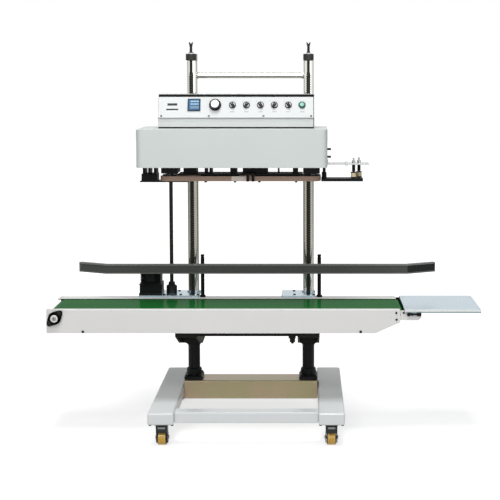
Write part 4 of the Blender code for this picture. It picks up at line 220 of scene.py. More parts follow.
@dataclass(frozen=True)
class Finish:
    """A paint, plastic or bare metal, with its colour drift, smudges and grain."""

    name: str
    slot: str
    colour: Colour
    roughness: float
    metallic: float = 0.0
    drift: float = 0.06
    drift_scale: float = 7.0
    smudge: float = 0.08
    grain_scale: float = 700.0
    grain: float = 0.00003
    stretch: Point = (1.0, 1.0, 1.0)
    coat: float = 0.0
    glow: float = 0.0
    specular: float = 0.5

    def material(self) -> bpy.types.Material:
        """This finish as a material, built on first use."""
        name = f"dressed_{self.name}"
        if name in bpy.data.materials:
            return bpy.data.materials[name]
        material, tree, shader = new_material(name)
        place = add(tree, "TexCoord").outputs["Object"]
        place = add(tree, "Mapping", {"Vector": place, "Scale": self.stretch}).outputs["Vector"]
        surface = add(tree, "Group", {
            "Vector": place, "Colour": self.tint(tree, place), "Roughness": self.roughness, "Drift": self.drift,
            "Drift scale": self.drift_scale, "Smudge": self.smudge, "Grain scale": self.grain_scale,
            "Grain depth": self.grain,
        }, node_tree=SurfaceGroup.tree())
        feed(tree, shader, {
            "Base Color": surface.outputs["Colour"], "Roughness": surface.outputs["Roughness"],
            "Normal": surface.outputs["Normal"], "Metallic": self.metallic, "Coat Weight": self.coat,
            "Coat Roughness": 0.05, "Specular IOR Level": self.specular,
            "Emission Color": (*self.colour, 1.0), "Emission Strength": self.glow,
        })
        return material

    def tint(self, tree: Tree, place: Socket) -> Socket | tuple[float, ...]:
        """The colour that the surface group starts from; other finishes paint a pattern here."""
        return (*self.colour, 1.0)


@dataclass(frozen=True)
class Passivated(Finish):
    """Yellow-passivated zinc, whose tint runs from olive to rose in soft clouds."""

    second: Colour = (0.54, 0.40, 0.28)
    cloud_scale: float = 9.0

    def tint(self, tree: Tree, place: Socket) -> Socket:
        """Mixes the two tints by a cloudy noise."""
        clouds = add(tree, "TexNoise", {"Vector": place, "Scale": self.cloud_scale, "Detail": 1.0})
        ramp = add(tree, "ValToRGB", {"Fac": clouds.outputs["Fac"]})
        for stop, position, colour in zip(ramp.color_ramp.elements, (0.35, 0.68), (self.colour, self.second)):
            stop.position, stop.color = position, (*colour, 1.0)
        return ramp.outputs["Color"]


HEAD_PAINT = Finish("head_paint", "head_grey", (0.62, 0.665, 0.645), 0.42, grain=0.00002)
KICK_PAINT = Finish("kick_paint", "head_grey", (0.65, 0.68, 0.67), 0.42, grain=0.00001)
CONVEYOR_PAINT = Finish("conveyor_paint", "conveyor_grey", (0.765, 0.76, 0.75), 0.45, grain=0.00001)
# A lighter copy of the conveyor paint: painted highlight for the conveyor panels' top edges.
PAINTED_HIGHLIGHT_STRIP = Finish("painted_highlight_strip", "conveyor_grey", (0.88, 0.89, 0.87), 0.50, grain=0.00001, specular=0.15)
BASE_PAINT = Finish(
    "base_paint", "base_grey", (0.74, 0.765, 0.77), 0.34, drift=0.04, drift_scale=4.0, grain=0.000004
)
ZINC = Passivated("passivated_zinc", "passivated", (0.47, 0.41, 0.235), 0.38, 0.40)
BLACK_ENAMEL = Finish("black_enamel", "black_enamel", (0.006, 0.007, 0.0075), 0.40, specular=0.12)
CAST_BLACK = Finish(
    "cast_black", "black_enamel", (0.008, 0.0085, 0.0085), 0.42, grain_scale=420.0, grain=0.00010, specular=0.14
)
CHROME = Finish("chrome_plate", "chrome_plate", (0.80, 0.80, 0.75), 0.07, 1.0, smudge=0.04, grain=0.0)
DARK_STEEL = Finish("dark_steel", "dark_steel", (0.020, 0.021, 0.023), 0.36, 0.5, specular=0.25)
BLACKENED = Finish("blackened_steel", "dark_steel", (0.005, 0.0055, 0.006), 0.38, specular=0.10)
FORK_STEEL = Finish("fork_steel", "dark_steel", (0.050, 0.056, 0.062), 0.32, 0.7, specular=0.3)
BLOCK_STEEL = Finish("block_steel", "bright_steel", (0.030, 0.030, 0.029), 0.36, 0.6)
THREAD_STEEL = Finish("thread_steel", "dark_steel", (0.020, 0.021, 0.020), 0.32, 0.6, specular=0.25)
# A lighter copy of the thread steel: painted glints on the lift screws' crests.
CREST_PAINTED_GLINT = Finish("crest_painted_glint", "dark_steel", (0.050, 0.050, 0.047), 0.34, 0.6, specular=0.25)
BRIGHT_STEEL = Finish(
    "bright_steel", "bright_steel", (0.46, 0.57, 0.64), 0.26, 0.9, stretch=(0.05, 1.0, 1.0),
    grain_scale=240.0, grain=0.000004,
)
# A pale copy of the plate's steel: painted highlight on the infeed plate's front face.
PAINTED_HIGHLIGHT_PLATE_EDGE = Finish("plate_edge_painted_highlight", "bright_steel", (0.84, 0.88, 0.90), 0.34, 0.25, grain=0.000004)
SCREW_STEEL = Finish("screw_steel", "bright_steel", (0.42, 0.43, 0.44), 0.30, 0.95, grain=0.000004)
BELT = Finish(
    "belt_green", "belt_green", (0.016, 0.146, 0.030), 0.10, drift=0.30, drift_scale=24.0, smudge=0.0,
    specular=0.0014, grain=0.0, stretch=(0.05, 1.0, 1.0),
)
RAIL_PAINT = Finish("rail_paint", "rail_grey", (0.15, 0.15, 0.142), 0.38, specular=0.3)
# A darker copy of the rail paint: painted shade inside the channel.
RAIL_PAINTED_SHADE = Finish("rail_painted_shade", "rail_grey", (0.067, 0.070, 0.065), 0.42, specular=0.25)
BAND_CLOTH = Finish(
    "band_cloth", "band_brown", (0.30, 0.195, 0.145), 0.42, drift=0.16, drift_scale=18.0, grain_scale=1400.0
)
BAND_WORN = Finish("band_worn", "band_brown", (0.60, 0.53, 0.47), 0.34, grain_scale=1400.0)
AMBER = Finish("amber_plastic", "wheel_amber", (0.70, 0.42, 0.06), 0.22, coat=0.5, drift=0.20, drift_scale=60.0)
PANEL_WHITE = Finish("panel_white", "panel_white", (0.76, 0.78, 0.78), 0.40, drift=0.02, specular=0.2)
PANEL_PRINT = Finish("panel_print", "panel_white", (0.26, 0.28, 0.28), 0.45)
BLACK_PLASTIC = Finish("black_plastic", "black_plastic", (0.008, 0.008, 0.009), 0.30, specular=0.3)
SKIRT_GREY = Finish("skirt_grey", "black_plastic", (0.66, 0.67, 0.67), 0.35)
KNOB_SILVER = Finish("knob_silver", "bright_steel", (0.86, 0.87, 0.87), 0.26, 0.35)
NAVY_PLASTIC = Finish("navy_plastic", "navy_plastic", (0.016, 0.040, 0.080), 0.34, specular=0.12)
SCREEN_BLUE = Finish("screen_blue", "navy_plastic", (0.070, 0.17, 0.29), 0.30, specular=0.12)
SCREEN_LIGHT = Finish("screen_light", "navy_plastic", (0.46, 0.66, 0.88), 0.30, specular=0.12)
SCREEN_DEEP = Finish("screen_deep", "navy_plastic", (0.24, 0.34, 0.48), 0.30, specular=0.12)
GREEN_PLASTIC = Finish("green_plastic", "green_plastic", (0.03, 0.17, 0.12), 0.22, coat=0.4)
BEZEL_GREEN = Finish("bezel_green", "panel_white", (0.05, 0.17, 0.13), 0.25, coat=0.3)
GREEN_LENS = Finish("green_lens", "green_plastic", (0.33, 0.60, 0.52), 0.16, coat=0.6, glow=0.06)
CREAM = Finish("roller_cream", "roller_cream", (0.62, 0.54, 0.34), 0.45)

BY_SLOT = {
    finish.slot: finish
    for finish in (
        HEAD_PAINT, CONVEYOR_PAINT, BASE_PAINT, ZINC, BLACK_ENAMEL, CHROME, DARK_STEEL, BRIGHT_STEEL, BELT,
        RAIL_PAINT, BAND_CLOTH, AMBER, PANEL_WHITE, BLACK_PLASTIC, NAVY_PLASTIC, GREEN_PLASTIC, CREAM,
    )
}


# Shaping


def metres(point: Point) -> Vector:
    """A point given in millimetres, as a vector in metres."""
    return Vector([value * MM for value in point])


def on_circle(x: float, y: float, radius: float, angle: float) -> tuple[float, float]:
    """The point of a circle about (x, y) at an angle."""
    return x + radius * math.cos(angle), y + radius * math.sin(angle)


def mirrored(end: Profile, length: float) -> Profile:
    """One end's profile and its mirror image at the other end of a length."""
    return end + [(radius, length - along) for radius, along in reversed(end)]


def to_scene(name: str, data: bpy.types.ID) -> bpy.types.Object:
    """Adds an object to the scene."""
    made = bpy.data.objects.new(name, data)
    bpy.context.scene.collection.objects.link(made)
    return made


class Form:
    """A piece under way, shaped by bmesh operators one primitive at a time, in millimetres.

    In its methods, edge is how far back the rounding of the edges starts and segments is how many facets the
    rounding has. Steps is how many facets go round. Slot says which of the piece's finishes a shape wears.
    """

    def __init__(self) -> None:
        """Starts with an empty mesh."""
        self.mesh = bmesh.new()

    def join(self, part: Solid) -> "Form":
        """Adds a mesh, which is used up, with the finishes that its faces wear."""
        carrier = bpy.data.meshes.new("carrier")
        part.to_mesh(carrier)
        part.free()
        self.mesh.from_mesh(carrier)
        bpy.data.meshes.remove(carrier)
        return self

    def take(self, part: Solid, slot: int = 0) -> "Form":
        """Cleans a finished primitive, gives it its finish and adds it."""
        bmesh.ops.remove_doubles(part, verts=part.verts, dist=MERGE)
        bmesh.ops.recalc_face_normals(part, faces=part.faces)
        for face in part.faces:
            face.material_index = slot
        return self.join(part)

    @staticmethod
    def ease(part: Solid, edges: list[bmesh.types.BMEdge], width: float, segments: int) -> None:
        """Rounds some edges of a mesh."""
        bmesh.ops.bevel(
            part, geom=edges, offset=width * MM, segments=segments, profile=0.5, affect="EDGES", material=-1,
            clamp_overlap=True,
        )

    @staticmethod
    def pull(part: Solid, faces: list[bmesh.types.BMFace], along: Point) -> None:
        """Draws faces of a mesh out by a vector."""
        grown = bmesh.ops.extrude_face_region(part, geom=faces)
        moved = [item for item in grown["geom"] if isinstance(item, bmesh.types.BMVert)]
        bmesh.ops.translate(part, verts=moved, vec=metres(along))

    def box(self, low: Point, high: Point, edge: float = 0.6, segments: int = 2, slot: int = 0) -> "Form":
        """Adds a block between its lowest and its highest corner."""
        part = bmesh.new()
        start, end = metres(low), metres(high)
        stretch = Matrix.LocRotScale((start + end) / 2.0, None, end - start)
        bmesh.ops.create_cube(part, size=1.0, matrix=stretch)
        if edge:
            self.ease(part, part.edges[:], min(edge, min(end - start) / MM * 0.45), segments)
        return self.take(part, slot)

    def turned(
        self, profile: Profile, foot: Point = ORIGIN, axis: Axis = Axis.Z, steps: int = 48, slot: int = 0
    ) -> "Form":
        """Adds a profile spun about an axis.

        Args:
            profile: (radius, distance along the axis) points from one end to the other.
            foot: the point of the axis that distances count from.
            axis: the axis.
            steps: how many facets go round.
            slot: which of the piece's finishes it wears.

        Returns:
            The form itself.
        """
        part = bmesh.new()
        base = metres(foot)
        out = Axis.Z.value if axis is Axis.X else Axis.X.value
        places = [base + out * (radius * MM) + axis.value * (along * MM) for radius, along in profile]
        points = [part.verts.new(place) for place in places]
        edges = [part.edges.new(pair) for pair in zip(points, points[1:])]
        bmesh.ops.spin(
            part, geom=points + edges, cent=base, axis=axis.value, angle=WHOLE_TURN, steps=steps, use_merge=True
        )
        return self.take(part, slot)

    def rod(
        self, radius: float, start: Point, length: float, axis: Axis = Axis.Z, edge: float = 0.5,
        steps: int = 32, slot: int = 0,
    ) -> "Form":
        """Adds a round bar with broken ends; a negative length runs down the axis."""
        edge = min(edge, radius * 0.5, abs(length) * 0.4)
        lip = math.copysign(edge, length)
        profile = [
            (0.0, 0.0), (radius - edge, 0.0), (radius, lip), (radius, length - lip), (radius - edge, length),
            (0.0, length),
        ]
        return self.turned(profile, start, axis, steps, slot)

    def bolt(
        self, foot: Point, axis: Axis, height: float, radius: float, steps: int = 6, socket: float = 0.5,
        slot: int = 0,
    ) -> "Form":
        """Adds a screw head: six steps make a hex head, more a round one.

        Args:
            foot: the middle of its seat.
            axis: the axis that it stands on.
            height: its height, negative where it points down the axis.
            radius: its radius.
            steps: how many facets go round.
            socket: the socket's share of the radius.
            slot: which of the piece's finishes it wears.

        Returns:
            The form itself.
        """
        root, floor, bore = -height * 0.3, height * 0.45, radius * socket
        bevel = min(radius, abs(height)) * 0.22
        profile = [
            (0.0, root), (radius, root), (radius, height - math.copysign(bevel, height)),
            (radius - bevel, height), (bore, height), (bore, floor), (0.0, height * 0.40),
        ]
        return self.turned(profile, foot, axis, steps, slot)

    def drawn(
        self, outline: list[Point], along: Point, edge: float = 0.0, segments: int = 2, slot: int = 0
    ) -> "Form":
        """Adds a flat outline drawn out along a vector to a solid."""
        part = bmesh.new()
        self.pull(part, [part.faces.new([part.verts.new(metres(point)) for point in outline])], along)
        if edge:
            self.ease(part, part.edges[:], edge, segments)
        return self.take(part, slot)

    def copy_of(
        self, node: bpy.types.Object, edge: float, segments: int, only: Callable[[Vector], bool] | None
    ) -> "Form":
        """Adds a CAD node's shape with its sharp edges rounded.

        Args:
            node: the node, which stays as it is.
            edge: the rounding's width, or 0 to leave the edges.
            segments: the rounding's facets.
            only: tells by an edge's middle whether it is rounded; all are without it.

        Returns:
            The form itself.
        """
        part = bmesh.new()
        part.from_mesh(node.data)
        bmesh.ops.remove_doubles(part, verts=part.verts, dist=MERGE)
        bmesh.ops.dissolve_limit(
            part, angle_limit=math.radians(1.0), use_dissolve_boundaries=False, verts=part.verts, edges=part.edges
        )
        if edge:
            sharp = [item for item in part.edges if item.is_manifold and item.calc_face_angle(0.0) > CREASE]
            if only:
                sharp = [item for item in sharp if only((item.verts[0].co + item.verts[1].co) / 2.0 / MM)]
            self.ease(part, sharp, edge, segments)
        return self.take(part)

    def looped(
        self, wheels: tuple[Wheel, Wheel], thickness: float, low: Point, along: Point, cuts: tuple[float, ...] = ()
    ) -> "Form":
        """Adds a closed band round two wheels.

        Args:
            wheels: centre and running radius of the two wheels, in the plane across the band.
            thickness: the band's thickness.
            low: the point that the plane's own origin stands at.
            along: the vector across the band's width; it is vertical or lies along Y.
            cuts: places along X where the two straights are parted.

        Returns:
            The form itself.
        """
        part = bmesh.new()
        upright = not along[1]
        loops = []
        for extra in (0.0, thickness):
            points = self.round_two(wheels, extra, cuts)
            places = [metres((x, h, 0.0) if upright else (x, 0.0, h)) + metres(low) for x, h in points]
            ring = [part.verts.new(place) for place in places]
            loops += [part.edges.new(pair) for pair in zip(ring, ring[1:] + ring[:1])]
        bmesh.ops.bridge_loops(part, edges=loops)
        self.pull(part, part.faces[:], along)
        return self.take(part)

    @staticmethod
    def round_two(
        wheels: tuple[Wheel, Wheel], extra: float = 0.0, cuts: tuple[float, ...] = (), steps: int = 28
    ) -> Profile:
        """Points of the line that runs round two wheels.

        Args:
            wheels: centre and radius of the left and the right wheel.
            extra: how far outside the wheels it runs.
            cuts: places along X where the two straights are parted.
            steps: how many facets half a wheel has.

        Returns:
            The points in order.
        """
        (left, left_r), (right, right_r) = wheels
        tilt = math.atan2(right[1] - left[1], right[0] - left[0])
        lean = math.acos((left_r - right_r) / math.dist(left, right))
        arcs = []
        for (x, h), radius, start, end in (
            (right, right_r + extra, tilt - lean, tilt + lean),
            (left, left_r + extra, tilt + lean, tilt + WHOLE_TURN - lean),
        ):
            angles = [start + (end - start) * step / steps for step in range(steps + 1)]
            arcs.append([on_circle(x, h, radius, angle) for angle in angles])

        def parted(start: tuple[float, float], end: tuple[float, float]) -> Profile:
            """The cuts' points on one straight, in the order that it runs."""
            slope = (end[1] - start[1]) / (end[0] - start[0])
            order = sorted(cuts, reverse=end[0] < start[0])
            return [(x, start[1] + slope * (x - start[0])) for x in order]

        first, second = arcs
        return first + parted(first[-1], second[0]) + second + parted(second[-1], first[0])

    def thread(self, core: float, crest: float, pitch: float, foot: Point, height: float, steps: int = 12) -> "Form":
        """Adds an upright screw thread with closed ends.

        Args:
            core: its root radius.
            crest: its outer radius.
            pitch: its pitch.
            foot: the middle of its lower end.
            height: its length.
            steps: how many facets go round.

        Returns:
            The form itself.
        """
        part = bmesh.new()
        base = metres(foot)
        profile = ((core, 0.0), (core, 0.30), (crest, 0.46), (crest, 0.80), (core, 1.0))
        points = [part.verts.new(base + metres((radius, 0.0, share * pitch))) for radius, share in profile]
        edges = [part.edges.new(pair) for pair in zip(points, points[1:])]
        turns = int(height / pitch) - 1
        bmesh.ops.spin(
            part, geom=points + edges, cent=base, axis=Axis.Z.value, dvec=metres((0.0, 0.0, pitch / steps)),
            angle=WHOLE_TURN * turns, steps=steps * turns,
        )
        bmesh.ops.remove_doubles(part, verts=part.verts, dist=0.00001)
        bmesh.ops.holes_fill(part, edges=[edge for edge in part.edges if edge.is_boundary], sides=0)
        return self.take(part)

    def faces(self, where: Test) -> list[bmesh.types.BMFace]:
        """The faces that a test picks by their middle and normal."""
        self.mesh.normal_update()
        return [face for face in self.mesh.faces if where(face.calc_center_median() / MM, face.normal)]

    def paint(self, where: Test, slot: int) -> "Form":
        """Gives another finish to the faces that a test picks."""
        for face in self.faces(where):
            face.material_index = slot
        return self

    def recess(self, where: Test, rim: float, depth: float, slot: int) -> "Form":
        """Sinks and repaints the region that a test picks, leaving a rim round it."""
        region = self.faces(where)
        bmesh.ops.inset_region(
            self.mesh, faces=region, thickness=rim * MM, depth=-depth * MM, use_even_offset=True
        )
        for face in region:
            face.material_index = slot
        return self

    def place(self, matrix: Matrix) -> "Form":
        """Moves and turns the whole form."""
        bmesh.ops.transform(self.mesh, matrix=matrix, verts=self.mesh.verts)
        return self

    def piece(self, name: str, worn: tuple[Finish, ...], body: str, replaced: tuple[str, ...] = ()) -> None:
        """Ends the form as an object that rides on a body.

        Args:
            name: the piece's name.
            worn: its finishes by slot.
            body: the body that it rides on.
            replaced: the CAD nodes that it stands for.
        """
        mesh = bpy.data.meshes.new(name)
        self.mesh.to_mesh(mesh)
        self.mesh.free()
        mesh.shade_smooth()
        mesh.set_sharp_from_angle(angle=CREASE)
        for finish in worn:
            mesh.materials.append(finish.material())
        made = to_scene(name, mesh)
        flat = made.modifiers.new("flat_faces", "WEIGHTED_NORMAL")
        flat.keep_sharp = True
        flat.weight = 100
        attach(made, body)
        if replaced:
            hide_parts(*replaced)
        LOG.info("%s: %d faces", name, len(mesh.polygons))


class Frame:
    """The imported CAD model: its nodes, their finishes and the bodies they ride on."""

    def __init__(self) -> None:
        """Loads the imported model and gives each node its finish."""
        self.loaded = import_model()
        self.nodes = self.loaded["nodes"]
        self.start_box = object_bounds()
        record = self.loaded["record"]
        self.slots = {entry["node"]: entry["material_slot"] for entry in record["subparts"]}
        self.bodies = {
            node: body for body, nodes in record["behaviour"]["bodies"].items() for node in nodes
        }
        for name, node in self.nodes.items():
            node.data.materials.clear()
            node.data.materials.append(BY_SLOT[self.slots[name]].material())

    def copy(
        self, name: str, edge: float = 0.6, segments: int = 2, only: Callable[[Vector], bool] | None = None
    ) -> Form:
        """A form that starts as a node's own shape with its sharp edges rounded."""
        return Form().copy_of(self.nodes[name], edge, segments, only)

    def dress(self, name: str, form: Form, *finishes: Finish) -> None:
        """Ends a form as the piece that stands for a node and rides on its body."""
        form.piece(f"{name}_dressed", finishes, self.bodies[name], (name,))

    def soften(self, name: str, edge: float) -> None:
        """Replaces a node by its own shape with rounded edges."""
        self.dress(name, self.copy(name, edge), BY_SLOT[self.slots[name]])

    @staticmethod
    def span(name: str) -> tuple[Point, Point]:
        """A node's lowest and highest corner in millimetres."""
        low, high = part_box(name)
        return tuple(value / MM for value in low), tuple(value / MM for value in high)


@dataclass
class Assembly:
    """A sub-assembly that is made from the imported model's nodes."""

    frame: Frame


# Base and castors


@dataclass
class Base(Assembly):
    """The beams, the cross members and the four swivel castors."""

    beam_edge: float = 1.8
    castor_top: float = 79.8
    swivel_x: dict[Side, float] = field(default_factory=lambda: {Side.LEFT: -335.5, Side.RIGHT: 224.5})
    swivel_y: dict[str, float] = field(default_factory=lambda: {"front": -295, "rear": 295})
    trail: float = 14
    wheel_radius: float = 25
    wheel_half: float = 15
    tread_half: float = 11.7
    groove: float = 4
    fork_side: float = 19.5
    crown: float = 72.2

    def build(self) -> None:
        """Dresses the beams and the cross members and makes the castors."""
        top = self.castor_top
        for side, x in self.swivel_x.items():
            name = f"base_beam_{side.value}"
            form = self.frame.copy(name, self.beam_edge, 3, lambda middle: middle.z > top)
            form.paint(lambda middle, normal: middle.z < top - 0.1, 1)
            for y in self.swivel_y.values():
                for reach in (-36, 36):
                    for run in (-26, 26):
                        form.bolt((x + reach, y + run, top), Axis.Z, -5.6, 5.2, socket=0.4, slot=1)
            self.frame.dress(name, form, BASE_PAINT, DARK_STEEL)
            for end, y in self.swivel_y.items():
                self._fork(f"{end}_{side.value}", x, y)
                self._wheel(f"{end}_{side.value}", (x, y + self.trail, self.wheel_radius))
        self.frame.soften("base_front_bar", 1.6)
        self.frame.soften("base_rear_beam", 2.2)

    def _fork(self, tag: str, x: float, y: float) -> None:
        """Makes one castor's fork with its dust ring, hood, a bright bar on the hood as painted highlight, side
        guards and axle nuts.
        """
        fork = self.frame.copy(f"castor_fork_{tag}")
        ring = [(19, 0), (21.8, 0), (22.6, -1.2), (21.8, -3), (20.2, -3), (19, 0)]
        fork.turned(ring, (x, y, self.crown), steps=40)
        fork.box((x - 18.5, y - 15, 46), (x + 18.5, y - 12.2, 70), 1)
        # The bright steel bar on the hood's front is a painted highlight.
        fork.box((x - 12, y - 17.5, 60), (x + 12, y - 14.8, 66.5), 1, slot=1)
        for sign in SIGNS:
            seat = (x + sign * self.fork_side, y + self.trail, self.wheel_radius)
            fork.rod(19, (x + sign * 16.4, *seat[1:]), sign * 3.3, Axis.X, 0.8, 44)
            fork.rod(7.8, seat, sign * 0.8, Axis.X, 0.2, 28, 1)
            fork.bolt(seat, Axis.X, sign * 3.4, 6.6, socket=0.4, slot=1)
        self.frame.dress(f"castor_fork_{tag}", fork, FORK_STEEL, SCREW_STEEL)

    def _wheel(self, tag: str, hub: Point) -> None:
        """Turns one wheel with its grooved tread, hub and bearing seals."""
        half, tread, radius, groove = self.wheel_half, self.tread_half, self.wheel_radius, self.groove
        near = [
            (4.5, 0), (4.5, half), (9, half), (9.4, half - 2.2), (18.8, half - 2.2), (19.6, half - 0.4),
            (21.2, half), (22.4, half - 0.6), (radius - 0.6, tread + 0.6), (radius, tread - 0.8),
            (radius, groove + 0.8), (radius - 0.9, groove + 0.3), (radius - 0.9, groove - 0.3),
            (radius, groove - 0.8),
        ]
        wheel = Form().turned(mirrored(near, 0.0), hub, Axis.X, 56)
        wheel.paint(lambda middle, normal: abs(middle.x - hub[0]) > tread + 0.4, 1)
        wheel.paint(lambda middle, normal: math.hypot(middle.y - hub[1], middle.z - hub[2]) < 9.2, 1)
        self.frame.dress(f"castor_wheel_{tag}", wheel, AMBER, DARK_STEEL)


# Stand and lift


@dataclass
class Stand(Assembly):
    """The pillars, the columns and their top blocks, the lift screws and the chain."""

    screw_y: float = 45.5
    column_radius: float = 19
    column_foot: float = 323
    column_top: float = 1272
    block_top: float = 1294.3
    tube_radius: float = 10
    tube_z: float = 1220
    thread_core: float = 6.3
    thread_crest: float = 8
    thread_foot: float = 374.5
    thread_height: float = 850.5
    chain_z: float = 313.7
    chain_radius: float = 13.925
    chain_links: int = 96
    sprocket_teeth: int = 9
    tie_front: float = -216.5

    def build(self) -> None:
        """Makes the stand from the pillars up."""
        for side, x in COLUMN_X.items():
            self._pillar(f"pillar_{side.value}", x)
            self._column(side, x)
            self._screw(f"lead_screw_{side.value}", x)
        self._tube()
        self._chain()
        self._tie()

    def _pillar(self, name: str, x: float) -> None:
        """Dresses one cast pillar with its grub screws."""
        form = self.frame.copy(name, 1.4)
        for height in (160, 170):
            form.bolt((x, COLUMN_Y - 27.2, height), Axis.Y, -1.6, 3, slot=1)
        for reach in (-22, 22):
            form.bolt((x + reach, -219.8, 357.5), Axis.Y, -1.8, 3.6, slot=1)
        self.frame.dress(name, form, CAST_BLACK, DARK_STEEL)

    def _column(self, side: Side, x: float) -> None:
        """Turns one chromed column and dresses the block on its top."""
        radius, foot, top = self.column_radius, self.column_foot, self.column_top
        profile = [
            (0, foot), (radius - 1.2, foot), (radius, foot + 1.2), (radius, top - 1.4),
            (radius - 0.4, top - 0.4), (radius - 1.4, top), (0, top),
        ]
        column = Form().turned(profile, (x, COLUMN_Y, 0), steps=80)
        self.frame.dress(f"column_{side.value}", column, CHROME)
        name = f"top_collar_{side.value}"
        block = self.frame.copy(name, 0.9)
        ring = [(7.6, 0), (10.6, 0), (10.6, 2.2), (10, 2.8), (7.6, 2.8), (7.6, 0)]
        block.turned(ring, (x, self.screw_y, self.block_top), steps=36, slot=1)
        block.rod(9.2, (x, COLUMN_Y, self.block_top), 1, steps=36, slot=1)
        self.frame.dress(name, block, BLOCK_STEEL, KNOB_SILVER)

    def _screw(self, name: str, x: float) -> None:
        """Makes one lift screw: sprocket, collar, thread, journal and claw end."""
        y, base, top, crest = self.screw_y, self.thread_foot, self.block_top + 0.3, self.thread_crest
        form = Form().thread(self.thread_core, crest, 8, (x, y, base), self.thread_height)
        # The thread's crest faces get the lighter steel: painted glints.
        form.paint(lambda middle, normal: math.hypot(middle.x - x, middle.y - y) > crest * 0.95, 1)
        foot = [
            (0, 307.7), (7.2, 307.7), (8, 308.5), (8, 365), (11.4, 365), (12, 365.6),
            (12, base + 2.4), (11.2, base + 3.2), (0, base + 3.2),
        ]
        neck = [
            (0, 1220), (6.6, 1220), (6.4, 1226.2), (5, 1232), (5, top), (7, top),
            (7, top + 4.2), (6.2, top + 5.6), (5, top + 6), (4.4, 1317), (4.4, 1323), (0, 1323),
        ]
        for profile in (foot, neck):
            form.turned(profile, (x, y, 0), steps=28)
        claw = ((-4.4, 1319), (4.4, 1319), (7.5, 1334), (5, 1335.3), (0, 1328.5), (-5, 1335.3),
                (-7.5, 1334))
        form.drawn([(x + reach, y - 4.5, height) for reach, height in claw], (0, 9, 0), 0.6)
        teeth = []
        for tooth in range(self.sprocket_teeth):
            for share, radius in ((-0.36, 7.9), (-0.14, 9.5), (0.14, 9.5), (0.36, 7.9)):
                place = on_circle(x, y, radius, WHOLE_TURN * (tooth + share) / self.sprocket_teeth)
                teeth.append((*place, self.chain_z - 2.5))
        form.drawn(teeth, (0, 0, 5))
        self.frame.dress(name, form, THREAD_STEEL, CREST_PAINTED_GLINT)

    def _tube(self) -> None:
        """Turns the chromed tie tube with a collar at each column."""
        sink = self.column_radius - 1
        start, end = COLUMN_X[Side.LEFT] + sink, COLUMN_X[Side.RIGHT] - sink
        form = Form().rod(self.tube_radius, (start, COLUMN_Y, self.tube_z), end - start, Axis.X, 0.4, 64)
        for place, length in ((start, 4), (end, -4)):
            form.rod(self.tube_radius + 2.2, (place, COLUMN_Y, self.tube_z), length, Axis.X, 0.8, 48)
        self.frame.dress("cross_tube", form, CHROME)

    def _chain(self) -> None:
        """Lays the roller chain round the two sprockets, link by link."""
        left, right = COLUMN_X.values()
        radius, straight = self.chain_radius, right - left
        half = straight + math.pi * radius

        def pin(index: int) -> Vector:
            """The place of one pin, counted along the loop from the left sprocket's front."""
            back, run = divmod(2 * half * (index % self.chain_links) / self.chain_links, half)
            x, y = left + run, -radius
            if run > straight:
                x, y = on_circle(right, 0, radius, (run - straight) / radius - math.pi / 2)
            if back:
                x, y = left + right - x, -y
            return metres((x, self.screw_y + y, self.chain_z))

        links = bmesh.new()
        for index in range(self.chain_links):
            start, end = pin(index), pin(index + 1)
            bmesh.ops.create_cone(
                links, cap_ends=True, segments=8, radius1=2.4 * MM, radius2=2.4 * MM, depth=7.2 * MM,
                matrix=Matrix.Translation(start),
            )
            run = end - start
            turn = Matrix.Rotation(math.atan2(run.y, run.x), 4, "Z")
            size = Matrix.Diagonal((run.length + 6.6 * MM, 7.6 * MM, 0.9 * MM, 1))
            level = 3.4 if index % 2 else 2.4
            for sign in SIGNS:
                place = Matrix.Translation((start + end) / 2 + metres((0, 0, sign * level)))
                bmesh.ops.create_cube(links, size=1, matrix=place @ turn @ size)
        self.frame.dress("lift_chain", Form().take(links), DARK_STEEL)

    def _tie(self) -> None:
        """Makes the black tie strip under the conveyor, with the chain's adjuster on it."""
        front = self.tie_front
        left, right = COLUMN_X[Side.LEFT] + 30, COLUMN_X[Side.RIGHT] - 30
        form = Form().box((left, front, 350.6), (right, front + 13, 364.7), 0.8)
        form.box((82, front, 343), (106, front + 12, 352), 1)
        form.box((86, front + 0.5, 330), (104, front + 11.5, 348.4), 1.4)
        form.bolt((95, front + 6, 330.2), Axis.Z, -5, 5, socket=0.4)
        for place in (left + 15, right - 12):
            form.bolt((place, front, 360.8), Axis.Y, -1.6, 3, 20)
        form.piece("saddle_tie", (BLACK_ENAMEL,), "base")


# Conveyor and guide rail


